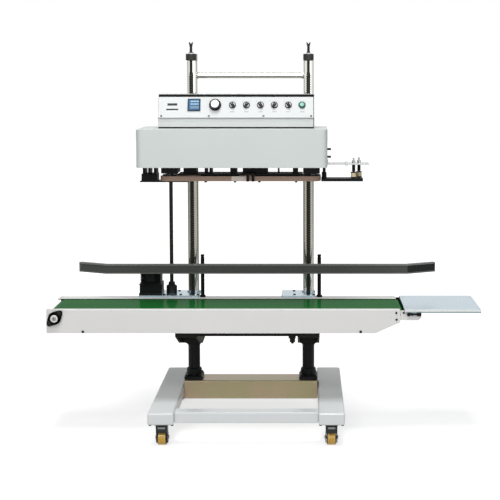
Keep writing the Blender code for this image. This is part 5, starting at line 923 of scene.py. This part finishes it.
@dataclass
class Conveyor(Assembly):
    """The belt conveyor with its bearing, tail, decks, motor, shaft and rail posts."""

    front_y: float = -240
    back_y: float = 25
    drive: Wheel = ((-694, 416.5), 25)
    tail: Wheel = ((450, 426.5), 15)
    belt_thickness: float = 2
    belt_front: float = -222
    belt_back: float = -32
    tail_front: float = -236.7
    deck_top: float = 451.3
    shaft_x: float = -335
    shaft_y: float = 57
    shaft_radius: float = 6.5
    housing_top: float = 481.3
    housing_radius: float = 30
    shaft_top: float = 1140
    motor_low: Point = (-445, 11, 451.6)
    motor_high: Point = (-367, 99, 551.6)
    post_y: float = 12

    def build(self) -> None:
        """Makes the conveyor from the frame up."""
        self._sides()
        belt = Form().looped(
            (self.drive, self.tail), self.belt_thickness, (0, self.belt_front, 0),
            (0, self.belt_back - self.belt_front, 0),
        )
        self.frame.dress("conveyor_belt", belt, BELT)
        self._roller("drive_roller", self.drive)
        self._roller("tail_roller", self.tail)
        self._bearing()
        self._tail()
        self._plate()
        self._decks()
        self._motor()
        self._shaft()
        self._posts()

    def _sides(self) -> None:
        """Dresses the two side panels and sets their screws. It paints the back panel's inner face dark as painted
        shade, lays a dark strip of painted shadow at the belt's back edge, and pale strips of painted highlight on
        the panels' top edges.
        """
        form = self.frame.copy("conveyor_frame", 0.9)
        # The back panel's inner face is painted dark steel: painted shade.
        form.paint(lambda middle, normal: normal.y < -0.5 and middle.y > self.belt_back, 1)
        for x, z, radius in ((-601, 370.5, 4.4), (322, 370.5, 4.4), (440, 433.7, 3.6), (441, 411.2, 3.6)):
            form.bolt((x, self.front_y, z), Axis.Y, -2.4, radius, 24, 0.45, 1)
            form.bolt((x, self.back_y, z), Axis.Y, 2.4, radius, 24, 0.45, 1)
        form.bolt((422.4, self.front_y, 425.2), Axis.Y, -1.2, 3.6, 24, 0.45)
        # A dark strip at the belt's back edge: painted shadow of the gap between belt and flange.
        form.box((-690, self.belt_back + 0.2, 443.8), (450, self.belt_back + 3, 445), 0.3, 1, 1)
        # Two pale strips on the back and front panels' top edges: painted highlight, in a lighter copy of the
        # conveyor paint.
        form.box((-690, self.belt_back + 3.4, 444), (450, self.back_y - 0.4, 445.2), 0.3, 1, 2)
        form.box((-690, self.front_y - 0.4, 440.5), (451, self.belt_front - 0.8, 445.4), 1, 2, 2)
        self.frame.dress("conveyor_frame", form, CONVEYOR_PAINT, DARK_STEEL, PAINTED_HIGHLIGHT_STRIP)

    def _roller(self, name: str, wheel: Wheel) -> None:
        """Turns a roller's shell afresh and keeps its axle."""
        (x, z), radius = wheel
        low, high = self.frame.span(name)
        start, end = self.belt_front + 2.1, self.belt_back - 2.1
        form = self.frame.copy(name, 0.4)
        shell = [
            (radius - 4, start), (radius - 0.6, start), (radius - 0.1, start + 1), (radius - 0.1, end - 1),
            (radius - 0.6, end), (radius - 4, end), (radius - 4, start),
        ]
        form.turned(shell, (x, 0, z), Axis.Y, 56)
        for y, sign in ((low[1], -1), (high[1], 1)):
            form.bolt((x, y - sign * 0.4, z), Axis.Y, sign * 0.4, 2.2, 12, slot=1)
        self.frame.dress(name, form, SCREW_STEEL, DARK_STEEL)

    def _bearing(self) -> None:
        """Makes the two-bolt flange bearing of the drive roller: casting, seal, inner ring and bolts."""
        form = Form()
        back, front = -240.3, -248
        for sign in SIGNS:
            for ear, ear_radius, hub_radius, start, along, edge in (
                (25.2, 8.8, 21.5, back, front - back, 1.2), (24, 5.6, 17.2, front + 1, -1.6, 0.4),
            ):
                ends = sorted((((sign * ear, 0), ear_radius), ((0, 0), hub_radius)))
                outline = [(x, start, z) for x, z in Form.round_two(tuple(ends), steps=14)]
                form.drawn(outline, (0, along, 0), edge)
        hub = [
            (0, back), (15, back), (15, -252), (14.2, -253.6), (12.8, -253.8), (12.4, -252.2),
            (0, -252.2),
        ]
        ring = [
            (6.2, -251), (12.2, -252.4), (12.2, -255), (10.4, -257.3), (7, -257.3), (6.2, -256.6),
            (6.2, -251),
        ]
        form.turned(hub, axis=Axis.Y, steps=56)
        form.turned(ring, axis=Axis.Y, slot=1)
        for x in (-24, 24):
            form.rod(7.4, (x, front, 0), -1.1, Axis.Y, 0.3, 28, 2)
            form.bolt((x, front - 1, 0), Axis.Y, -3.2, 5.6, socket=0, slot=2)
        form.rod(2.2, (6, -244, 18.5), 5.2, Axis.Z, 0.6, 14, 1)
        (x, z), _ = self.drive
        form.place(Matrix.Translation(metres((x, 0, z))) @ Matrix.Rotation(math.radians(-45), 4, "Y"))
        self.frame.dress("flange_bearing", form, BLACKENED, KNOB_SILVER, DARK_STEEL)

    def _tail(self) -> None:
        """Dresses the tail bracket, with its tension bolt. Every face but the front cheek's outer face is painted
        black as painted shade, and a black sheet behind the belt's nose is painted shade in the gap there.
        """
        form = self.frame.copy("tail_bracket")
        front = self.tail_front
        # Painted shade: every face but the front cheek's outer face is painted black.
        form.paint(lambda middle, normal: middle.y > front + 4.01, 1)
        # A black sheet behind the belt's nose: painted shade in the gap between belt and plate.
        form.box((467.3, front + 0.6, 414), (468.4, self.back_y - 4, 442.8), 0.2, 1, 1)
        form.bolt((464.6, front, 433.7), Axis.Y, -2.4, 3.4, 24, 0.45, 1)
        for start, length, radius, edge, steps in (
            (476, 47, 3, 0.4, 20), (476.2, 11, 6.2, 0.8, 6), (490, 6, 5, 0.8, 24),
            (508, 14.5, 6.6, 0.8, 6),
        ):
            form.rod(radius, (start, front - 4.2, 429), length, Axis.X, edge, steps, 1)
        form.box((490, front - 3, 422.5), (496, front + 1, 435.5))
        self.frame.dress("tail_bracket", form, CONVEYOR_PAINT, BLACK_ENAMEL)

    def _plate(self) -> None:
        """Dresses the infeed plate, with its screws, a pale painted highlight on the upper part of its front face
        and painted shade on its left end.
        """
        form = self.frame.copy("extension_plate", 0.9)
        for y in (-200, 0):
            form.bolt((479, y, 444.9), Axis.Z, 0.3, 4.2, 24, slot=1)
        low, high = self.frame.span("extension_plate")
        # A pale slab over the upper part of the front face: painted highlight.
        form.box((low[0] + 0.6, low[1] - 0.2, 437.6), (high[0] - 0.3, low[1] + 2.2, high[2] - 0.1), 0.4, 2, 2)
        # The left end face is painted black: painted shade.
        form.paint(lambda middle, normal: normal.x < -0.5 and middle.x < low[0] + 2, 3)
        self.frame.dress("extension_plate", form, BRIGHT_STEEL, SCREW_STEEL, PAINTED_HIGHLIGHT_PLATE_EDGE, BLACKENED)

    def _decks(self) -> None:
        """Dresses the two steel decks, with their screws and the clamp rings round the columns."""
        ring = [(19.3, 0), (24, 0), (24, 3.6), (23.2, 4.4), (19.3, 4.4), (19.3, 0)]
        for side, screws in (
            (Side.LEFT, ((-300, 20), (-240, 20), (-312, 102), (-357, 20))),
            (Side.RIGHT, ((100, 20), (168, 20), (98, 100), (160, 106))),
        ):
            name = f"deck_plate_{side.value}"
            form = self.frame.copy(name, 0.7)
            form.turned(ring, (COLUMN_X[side], COLUMN_Y, self.deck_top), steps=56)
            for x, y in screws:
                form.bolt((x, y, self.deck_top), Axis.Z, 3, 4.6, slot=1)
            form.paint(self._in_housing, 1)
            self.frame.dress(name, form, BRIGHT_STEEL, DARK_STEEL)

    def _in_housing(self, middle: Vector, normal: Vector) -> bool:
        """Whether a face belongs to the drive shaft's housing on the left deck."""
        reach = math.hypot(middle.x - self.shaft_x, middle.y - self.shaft_y)
        return middle.z > self.deck_top + 0.6 and reach < self.housing_radius

    def _motor(self) -> None:
        """Dresses the drive motor: gear case, finned stator, end bell, terminal box and gland."""
        low, high = self.motor_low, self.motor_high
        form = self.frame.copy("drive_motor", 1.2)
        fins = [(-3.4, 494 + level * 5.6, 1.8, 0.6) for level in range(7)]
        for grown, foot, tall, edge in ((1.2, low[2], 6, 1.6), (0.6, 487, 2.5, 0.8), *fins):
            corner = (high[0] + grown, high[1] + grown, foot + tall)
            form.box((low[0] - grown, low[1] - grown, foot), corner, edge)
        for x in (low[0] + 8, high[0] - 8):
            for y in (low[1] + 8, high[1] - 8):
                form.bolt((x, y, 489.2), Axis.Z, 3, 3.4, slot=1)
        middle = (low[0] + high[0]) / 2
        for x in (middle - 12, middle + 12):
            form.bolt((x, low[1] - 5.2, 518), Axis.Y, -1.2, 2.4, 20, 0.4, 1)
        form.rod(6.2, (middle - 17, low[1] - 1, 510), -10, Axis.X, 0.8, 6)
        self.frame.dress("drive_motor", form, BLACK_ENAMEL, DARK_STEEL)

    def _shaft(self) -> None:
        """Turns the upright drive shaft with its coupling and grooves."""
        (_, _, foot), _ = self.frame.span("drive_shaft")
        radius, seat, top = self.shaft_radius, self.housing_top + 0.3, self.shaft_top
        profile = [
            (0, foot), (radius - 0.6, foot), (radius, foot + 0.8), (radius, seat), (11.2, seat),
            (11.5, seat + 0.4), (11.5, seat + 9.2), (10.8, seat + 10), (radius, seat + 10),
        ]
        for groove in (520, 640, 860, 1100):
            profile += [
                (radius, groove), (radius - 0.8, groove + 0.3), (radius - 0.8, groove + 1.4),
                (radius, groove + 1.7),
            ]
        profile += [(radius, top - 1), (radius - 1, top), (0, top)]
        form = Form().turned(profile, (self.shaft_x, self.shaft_y, 0), steps=40)
        self.frame.dress("drive_shaft", form, THREAD_STEEL)

    def _posts(self) -> None:
        """Turns the two posts of the guide rail."""
        profile = [
            (0, 445.3), (10.2, 445.3), (10.5, 445.6), (10.5, 450.6), (9.8, 451.4), (6.6, 453),
            (6.5, 453.6), (6.5, 585), (5.6, 585.6), (5.6, 588.4), (6.5, 589), (6.5, 594), (5.4, 595.3),
            (0, 595.3),
        ]
        for side, x in POST_X.items():
            form = Form().turned(profile, (x, self.post_y, 0), steps=36)
            self.frame.dress(f"rail_post_{side.value}", form, BLACKENED)


@dataclass
class GuideRail(Assembly):
    """The channel that steadies the bags, the black-painted front of its right end and its hand knobs."""

    knob_y: float = 25.5
    knob_z: float = 548
    dark_end_from: float = 495.5
    dark_end_half: float = 14

    def build(self) -> None:
        """Dresses the rail."""
        form = self.frame.copy("guide_rail")
        # The front face is sunk and painted darker: painted shade of the channel's inside.
        form.recess(lambda middle, normal: normal.y < -0.8 and middle.y < 30, 5.2, 1, 2)
        # The front of the rail's right end is painted black.
        form.paint(self._in_dark_end, 1)
        knob = [(0, 0), (4.2, 0), (4.2, 5), (8.6, 6.2), (9.2, 8), (9.2, 14.8), (8, 16.2), (0, 16.8)]
        for x in POST_X.values():
            form.turned(knob, (x, self.knob_y, self.knob_z), Axis.Y, 12, 1)
        self.frame.dress("guide_rail", form, RAIL_PAINT, BLACK_PLASTIC, RAIL_PAINTED_SHADE)

    def _in_dark_end(self, middle: Vector, normal: Vector) -> bool:
        """Whether a face is on the front of the rail's right end, which is painted black."""
        return middle.x > self.dark_end_from and normal.y < -0.3 and abs(middle.z - self.knob_z) < self.dark_end_half


# Sealing head


@dataclass
class Head(Assembly):
    """The head's cover and carriage plate."""

    end_x: float = 211.2

    def build(self) -> None:
        """Dresses the cover, with the dark screws on its end, and the carriage."""
        cover = self.frame.copy("head_cover", 1.1)
        cover.paint(lambda middle, normal: middle.x > self.end_x, 1)
        self.frame.dress("head_cover", cover, HEAD_PAINT, DARK_STEEL)
        self.frame.soften("head_plate", 0.8)


@dataclass
class ControlBox(Assembly):
    """The box on the head with its sloped panel, controller, knob, selectors and button."""

    origin: Point = (-94, -126.997, 1111.903)
    lean: float = 70
    thickness: float = 2
    half_y: float = 38.843
    row: float = 8
    seat: float = 2.3
    knob_x: float = -71
    controller_x: float = -142
    controller_half: float = 21.5
    controller_proud: float = 6
    selector_x: tuple[float, ...] = (-13, 34, 81, 128, 175)
    selector_radius: float = 11.5
    button_x: float = 221
    bezel: tuple[float, float] = (127, 1120)
    bezel_radius: float = 16.5
    scale_radius: float = 23.6
    scale_marks: int = 11
    grip_radius: float = 17
    flutes: int = 28

    def placed(self, form: Form, x: float = 0, y: float = 0, turn: float = 0) -> Form:
        """Moves a form from the panel's own frame, X along it, Y up it and Z out of it, to its place on it."""
        panel = Matrix.Translation(metres(self.origin)) @ Matrix.Rotation(math.radians(self.lean), 4, "X")
        spot = Matrix.Translation(metres((x, y, 0))) @ Matrix.Rotation(math.radians(turn), 4, "Z")
        return form.place(panel @ spot)

    def build(self) -> None:
        """Makes the box, its panel and every control on it."""
        self._case()
        self._panel()
        self._controller()
        self._knob()
        for index, x in enumerate(self.selector_x):
            self._selector(f"selector_{index + 1}", x, -30 if index % 2 else 30)
        self._button()

    def _case(self) -> None:
        """Dresses the sheet-metal box with its black brow, and black strips along its foot and up its right edge
        that are painted shadow and painted shade.
        """
        form = self.frame.copy("control_box", 1)
        form.box((-355.6, -117.2, 1147.4), (167.6, -108, 1156), 1.4, slot=1)
        # A black strip along the box's foot is painted shadow of the gap under it; the one up its right edge is
        # painted shade of that edge.
        form.box((-355, -140.6, 1042.4), (167, -138, 1047.4), 0.6, slot=2)
        form.box((165.2, -140.4, 1047), (167.9, -138, 1075.2), 0.5, slot=2)
        for height in (1056.6, 1067.2):
            form.box((-354, -140.3, height), (164, -139, height + 1.2), 0.3, 1)
        self.frame.dress("control_box", form, KICK_PAINT, BLACK_ENAMEL, BLACK_PLASTIC)

    def _panel(self) -> None:
        """Dresses the white panel: black lines of painted shadow under its lower edge and painted shade down its
        right edge, a grey line down its left edge, plain printed bars, dashes, the knob's scale and four screws.
        """
        form = self.frame.copy("control_panel", 0)
        x, z = self.bezel
        form.paint(lambda middle, normal: math.hypot(middle.x - x, middle.z - z) < self.bezel_radius, 4)
        top, half = self.thickness, self.half_y
        drawn = Form()
        dashes = [(x - 7.5, -16.8, x + 7.5, -15.2) for x in (*self.selector_x, self.button_x)]
        dashes += [
            (x + shift - 1.2, 20.5, x + shift + 1.2, 21.8) for x in self.selector_x for shift in (-12.5, 12.5)
        ]
        # The first two bars are black lines: painted shadow under the panel's lower edge and painted shade down its
        # right edge. The third is a grey line down its left edge. The rest are print.
        for left, foot, right, head, sink, rise, edge, slot in (
            (-261, -half, 261.2, 1.9 - half, 0.4, 0.4, 0.2, 1), (259.2, 1.9 - half, 261.2, half, 0.4, 0.4, 0.2, 1),
            (-261.8, -half, -261, half, 0.4, 0.3, 0.2, 2), (-231.5, 6.2, -198.5, 14.2, 0.3, 0.3, 0.2, 1),
            (-235, -10.3, -195, -4.8, 0.3, 0.3, 0.2, 1), *((*dash, 0.3, 0.2, 0.1, 2) for dash in dashes),
        ):
            drawn.box((left, foot, top - sink), (right, head, top + rise), edge, 1, slot)
        for step in range(self.scale_marks):
            place = on_circle(self.knob_x, self.row, self.scale_radius, math.radians(225 - 27 * step))
            drawn.rod(0.8, (*place, top - 0.3), 0.5, Axis.Z, 0.1, 10, 2)
        for x in (-251.5, -91.7, 91.7, 251.5):
            drawn.bolt((x, -30.8, top + 0.6), Axis.Z, 0.8, 3.4, 20, 0.45, 3)
        form.join(self.placed(drawn).mesh)
        self.frame.dress("control_panel", form, PANEL_WHITE, BLACK_PLASTIC, PANEL_PRINT, DARK_STEEL, BEZEL_GREEN)

    def _controller(self) -> None:
        """Makes the temperature controller: frame, sunken face and three rows of light segments."""
        half, proud = self.controller_half, self.controller_proud
        form = Form().box((-half, -half, self.seat), (half, half, proud), 1.2, 3)
        rim = half - 3.5
        form.box((-rim, -rim, proud - 0.6), (rim, rim, proud + 0.2), 0.4, 1, 1)
        left, right = -0.54 * half, 0.76 * half
        for middle, tall, count, slot in ((0.54, 0.20, 3, 2), (0.10, 0.20, 4, 2), (-0.44, 0.38, 4, 3)):
            pitch = (right - left) / count
            for index in range(count):
                x, y, reach = left + (index + 0.5) * pitch, middle * half, tall * half / 2
                low, high = (x - pitch * 0.44, y - reach, proud), (x + pitch * 0.44, y + reach, proud + 0.7)
                form.box(low, high, 0.2, 1, slot)
        self.placed(form, self.controller_x, self.row)
        self.frame.dress("temp_controller", form, NAVY_PLASTIC, SCREEN_BLUE, SCREEN_LIGHT, SCREEN_DEEP)

    def _knob(self) -> None:
        """Makes the fluted speed knob with its silver cap and white index."""
        seat = self.seat
        skirt = [
            (0, 0), (19.8, 0), (20.4, 0.6), (20.4, 2), (18.6, 3.4), (17.6, 3.4), (16.8, 12.7), (16, 13.7), (0, 13.7),
        ]
        cap = [(0, 15.2), (13.4, 15.2), (13.6, 16.4), (13, 17.2), (11.4, 17.4), (10.6, 16.8), (0, 16.8)]
        form = Form().turned(skirt, (0, 0, seat), steps=56)
        for step in range(self.flutes):
            place = on_circle(0, 0, self.grip_radius, WHOLE_TURN * step / self.flutes)
            form.rod(1, (*place, seat + 4), 10.5, Axis.Z, 0.5, 8)
        form.turned(cap, steps=56, slot=1)
        form.box((-0.9, 13.6, 15), (0.9, 17.2, 16.6), 0.3, 1, 2)
        self.placed(form, self.knob_x, self.row)
        self.frame.dress("speed_knob", form, BLACK_PLASTIC, KNOB_SILVER, PANEL_WHITE)

    def _selector(self, name: str, x: float, turn: float) -> None:
        """Makes one selector switch, turned by some degrees: ring, skirt and ridged grip."""
        radius, seat, crown = self.selector_radius, self.seat, 9.8
        bezel = [(0, 0), (11.2, 0), (11.5, 0.4), (11.5, 3), (10.7, 3.6), (9.3, 3.6), (9.3, 2), (0, 2)]
        skirt = [(0, 1.6), (9.1, 1.6), (9.1, 3.4), (8.3, 4.2), (0, 4.2)]
        form = Form().turned(bezel, (0, 0, seat)).turned(skirt, (0, 0, seat), slot=1)
        half_width, half_length = radius * 0.44, radius * 0.90
        reach = half_length - half_width
        ends = (((-reach, 0), half_width), ((reach, 0), half_width))
        outline = [(-v, u, seat + 3) for u, v in Form.round_two(ends, steps=8)]
        form.drawn(outline, (0, 0, crown - seat - 3), 0.7)
        form.box((-0.5, half_length * 0.25, crown - 0.4), (0.5, half_length * 0.84, crown + 0.2), 0.1, 1, 2)
        self.placed(form, x, self.row, turn)
        self.frame.dress(name, form, BLACK_PLASTIC, SKIRT_GREY, PANEL_WHITE)

    def _button(self) -> None:
        """Makes the start button: green body and pale lens."""
        body = [(0, 4.5), (8.6, 4.5), (8.6, 6), (9.3, 6.6), (9.3, 9), (8.4, 9.9), (7, 9.9), (0, 9.5)]
        lens = [(0, 9.2), (6.8, 9.2), (6.6, 10), (3.6, 10.4), (0, 10.5)]
        form = Form().turned(body).turned(lens, steps=40, slot=1)
        self.placed(form, self.button_x, self.row)
        self.frame.dress("start_button", form, GREEN_PLASTIC, GREEN_LENS)


# Sealing train


@dataclass
class SealTrain(Assembly):
    """The two sealing bands on their wheels, with blocks, infeed arms, rollers and guard."""

    wheel_x: tuple[float, float] = (-316, 159)
    band_y: tuple[float, float] = (-156.8, -93.2)
    band_radius: float = 30.3
    band_thickness: float = 0.9
    band_foot: float = 868
    band_width: float = 16.5
    worn_x: tuple[float, float] = (-108, -54)
    spring_x: float = 48
    spring_depth: float = 20.1
    nip_y: float = -125
    roller_place: dict[str, tuple[float, float]] = field(
        default_factory=lambda: {"front": (300.7, -138.5), "rear": (319.7, -111.5)}
    )
    roller_radius: float = 9.9
    bar_z: float = 920

    def build(self) -> None:
        """Makes the train from the bands outwards."""
        for name, y, sign in zip(("front", "rear"), self.band_y, SIGNS):
            self._band(f"band_{name}", y, sign)
            self._blocks(f"seal_blocks_{name}", self.nip_y + sign * self.spring_depth)
            for side, x in zip(Side, self.wheel_x):
                self._wheel(f"band_wheel_{name}_{side.value}", x, y)
        for name, place in self.roller_place.items():
            self._infeed_roller(f"infeed_roller_{name}", *place)
        arm = self.frame.copy("infeed_arm", 0.5)
        arm.paint(lambda middle, normal: middle.z > self.bar_z, 1)
        self.frame.dress("infeed_arm", arm, BLACKENED, SCREW_STEEL)
        self.frame.dress("outfeed_guard", self.frame.copy("outfeed_guard"), BLACKENED)

    def _band(self, name: str, y: float, sign: float) -> None:
        """Makes one closed band, with the scuffed stretch of its outer run.

        Args:
            name: the band.
            y: its middle line.
            sign: which way along Y its outer run lies.
        """
        wheels = tuple(((x, y), self.band_radius) for x in self.wheel_x)
        foot, along = (0, 0, self.band_foot), (0, 0, self.band_width)
        form = Form().looped(wheels, self.band_thickness, foot, along, self.worn_x)
        start, end = self.worn_x
        form.paint(lambda middle, normal: start < middle.x < end and (middle.y - y) * sign > 0, 1)
        self.frame.dress(name, form, BAND_CLOTH, BAND_WORN)

    def _wheel(self, name: str, x: float, y: float) -> None:
        """Turns one band wheel: rim, web with four pins, hub and spindle nut."""
        low, high = self.frame.span(name)
        foot, top = self.band_foot - 0.6, self.band_width + 1.2
        start, end = low[2] - foot, high[2] - foot
        profile = [
            (0, start), (5.2, start), (5.8, start + 0.6), (5.8, 1), (11, 1), (11.8, 1.6), (12.2, 5.2), (24, 5.2),
            (25.6, 4), (26.2, 0), (29.3, 0), (29.9, 0.6), (29.9, top - 0.6), (29.3, top), (26.2, top),
            (25.6, top - 4), (24, top - 5.2), (12.2, top - 5.2), (11.8, top - 1.2), (11, top - 0.6),
            (6, top - 0.6), (6, end), (0, end),
        ]
        form = Form().turned(profile, (x, y, foot), steps=56)
        for step in range(4):
            place = on_circle(x, y, 18.5, WHOLE_TURN * (step + 0.5) / 4)
            form.rod(3, (*place, foot + 4.6), 8.4, steps=16, slot=1)
        form.bolt((x, y, low[2] + 0.4), Axis.Z, -0.4, 4.4, socket=0.4, slot=1)
        self.frame.dress(name, form, FORK_STEEL, DARK_STEEL)

    def _blocks(self, name: str, y: float) -> None:
        """Dresses one row of heater, press rollers and cooler, and winds the spring on its pressure rod."""
        form = self.frame.copy(name)
        form.thread(1.7, 3.6, 3.2, (self.spring_x, y, 893.2), 22)
        self.frame.dress(name, form, BLACKENED)

    def _infeed_roller(self, name: str, x: float, y: float) -> None:
        """Turns one infeed roller: cream body between two dark rims."""
        low, high = self.frame.span(name)
        foot, top, radius = low[2], high[2], self.roller_radius
        end = [(0, 0), (3, 0), (3, 1.2), (radius - 0.4, 1.2), (radius, 1.6), (radius, 4), (radius - 0.7, 4.4)]
        form = Form().turned(mirrored(end, top - foot), (x, y, foot), steps=40)
        form.paint(lambda middle, normal: foot + 4.2 < middle.z < top - 4.2 and normal.xy.length > 0.9, 1)
        self.frame.dress(name, form, DARK_STEEL, CREAM)


# The studio


@dataclass
class Studio:
    """The pale floor, the soft lamps, the world, the reflection cards and the camera."""

    lens: float = 93.6
    stand: Point = (0.137, -4.504, 1.218)
    pitch: float = 4.8
    shift_x: float = -0.11
    shift_y: float = -0.13
    floor_size: float = 40.0
    floor_lift: float = 0.66
    floor_near: float = 0.6
    floor_far: float = 3.0
    world_soft: float = 0.15

    def build(self) -> None:
        """Makes everything that isn't part of the object."""
        self._floor()
        self._world()
        for name, stand, aim, size, power in (
            ("key", (-1.3, -3.4, 3.0), (-0.05, -0.1, 0.6), 1.7, 48.0),
            ("fill", (3.0, -3.0, 2.0), (0.1, 0.0, 0.6), 2.4, 21.0),
            ("top", (0.0, -1.5, 4.4), (0.0, -0.1, 0.4), 1.5, 97.0),
            ("front", (0.3, -4.6, 1.1), (0.0, 0.0, 0.5), 1.8, 15.5),
        ):
            light = bpy.data.lights.new(name, "AREA")
            light.size = size
            light.energy = power
            self._face(to_scene(name, light), stand, aim)
        for name, stand, aim, size, colour in (
            ("card_left", (-2.4, 0.5, 1.2), (0.0, 0.09, 1.2), (0.8, 3.2), (0.08, 0.08, 0.08)),
            ("card_right", (2.2, 1.3, 1.2), (0.0, 0.09, 1.2), (0.9, 3.2), (0.04, 0.04, 0.04)),
            ("card_above", (0.0, 1.8, 3.6), (0.0, 0.09, 1.2), (6.0, 0.8), (0.05, 0.05, 0.05)),
            ("card_front", (0.0, -6.4, 0.004), (0.0, -6.4, 9.0), (26.0, 12.2), (0.50, 0.49, 0.42)),
            ("card_back", (0.0, 6.6, 0.004), (0.0, 6.6, 9.0), (26.0, 12.2), (0.30, 0.30, 0.26)),
        ):
            self._face(self._card(name, size, colour), stand, aim)
        self._camera()
        bpy.context.scene.view_settings.view_transform = "Standard"

    @staticmethod
    def _face(thing: bpy.types.Object, stand: Point, aim: Point) -> None:
        """Stands a lamp or a card at a point, with its face towards another."""
        thing.location = stand
        thing.rotation_euler = (Vector(aim) - Vector(stand)).to_track_quat("-Z", "Y").to_euler()

    @staticmethod
    def _sheet(name: str, size: tuple[float, float], material: bpy.types.Material) -> bpy.types.Object:
        """Adds a flat sheet, lying at the origin, that is no part of the object."""
        plane = bmesh.new()
        bmesh.ops.create_grid(
            plane, x_segments=1, y_segments=1, size=0.5, matrix=Matrix.Diagonal((*size, 1.0, 1.0))
        )
        mesh = bpy.data.meshes.new(name)
        plane.to_mesh(mesh)
        plane.free()
        mesh.materials.append(material)
        sheet = to_scene(name, mesh)
        sheet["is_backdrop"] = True
        return sheet

    def _floor(self) -> None:
        """Lays the pale floor, which keeps the shadow and runs out into white."""
        material, tree, shader = new_material("floor_white")
        place = add(tree, "TexCoord").outputs["Object"]
        reach = add(tree, "VectorMath", {0: place}, operation="LENGTH").outputs["Value"]
        rise = add(tree, "MapRange", {
            "Value": reach, "From Min": self.floor_near, "From Max": self.floor_far, "To Min": self.floor_lift,
            "To Max": 1.0,
        }, interpolation_type="SMOOTHSTEP")
        seen = self._any_of(tree, ("Is Camera Ray", "Is Glossy Ray"))
        lift = add(tree, "Math", {0: seen, 1: rise.outputs["Result"]}, operation="MULTIPLY")
        feed(tree, shader, {
            "Base Color": (0.82, 0.82, 0.82, 1.0), "Roughness": 0.9, "Specular IOR Level": 0.0,
            "Emission Color": WHITE, "Emission Strength": lift.outputs[0],
        })
        self._sheet("floor", (self.floor_size, self.floor_size), material)

    @staticmethod
    def _any_of(tree: Tree, kinds: tuple[str, ...]) -> Socket:
        """One where a ray is of any of the kinds, else zero."""
        first, *others = (add(tree, "LightPath").outputs[kind] for kind in kinds)
        for other in others:
            first = add(tree, "Math", {0: first, 1: other}, operation="MAXIMUM").outputs[0]
        return first

    def _world(self) -> None:
        """Makes the world white to the eye and in reflections, and softer as a light."""
        world = bpy.data.worlds.new("studio")
        bpy.context.scene.world = world
        world.use_nodes = True
        tree = world.node_tree
        tree.nodes.clear()
        soft, full = (
            add(tree, "Background", {"Color": WHITE, "Strength": strength}).outputs[0]
            for strength in (self.world_soft, 1.0)
        )
        seen = self._any_of(tree, ("Is Camera Ray", "Is Glossy Ray", "Is Transmission Ray"))
        mix = add(tree, "MixShader", {"Fac": seen, 1: soft, 2: full})
        add(tree, "OutputWorld", {"Surface": mix.outputs[0]})

    def _card(self, name: str, size: tuple[float, float], colour: Colour) -> bpy.types.Object:
        """Makes a dark card that only polished metal sees.

        Args:
            name: its name.
            size: its width and height.
            colour: what it looks like in a reflection.

        Returns:
            The card, lying at the origin.
        """
        material, tree, shader = new_material(name)
        feed(tree, shader, {
            "Base Color": (0.0, 0.0, 0.0, 1.0), "Roughness": 1.0, "Specular IOR Level": 0.0,
            "Emission Color": (*colour, 1.0), "Emission Strength": 1.0,
        })
        card = self._sheet(name, size, material)
        card.visible_camera = False
        card.visible_diffuse = False
        card.visible_shadow = False
        card.visible_transmission = False
        return card

    def _camera(self) -> None:
        """Stands the camera where the photograph was taken from."""
        data = bpy.data.cameras.new("portrait")
        data.lens = self.lens
        data.shift_x = self.shift_x
        data.shift_y = self.shift_y
        data.clip_end = 100.0
        camera = to_scene("portrait", data)
        camera.location = self.stand
        camera.rotation_euler = (math.radians(90.0 - self.pitch), 0.0, 0.0)
        bpy.context.scene.camera = camera


def main() -> None:
    """Builds the dressed machine and its studio, one sub-assembly after another."""
    logging.basicConfig(level=logging.INFO, format="%(message)s")
    frame = Frame()
    Studio().build()
    for assembly in (Base, Stand, Conveyor, GuideRail, Head, ControlBox, SealTrain):
        assembly(frame).build()


if __name__ == "__main__":
    main()
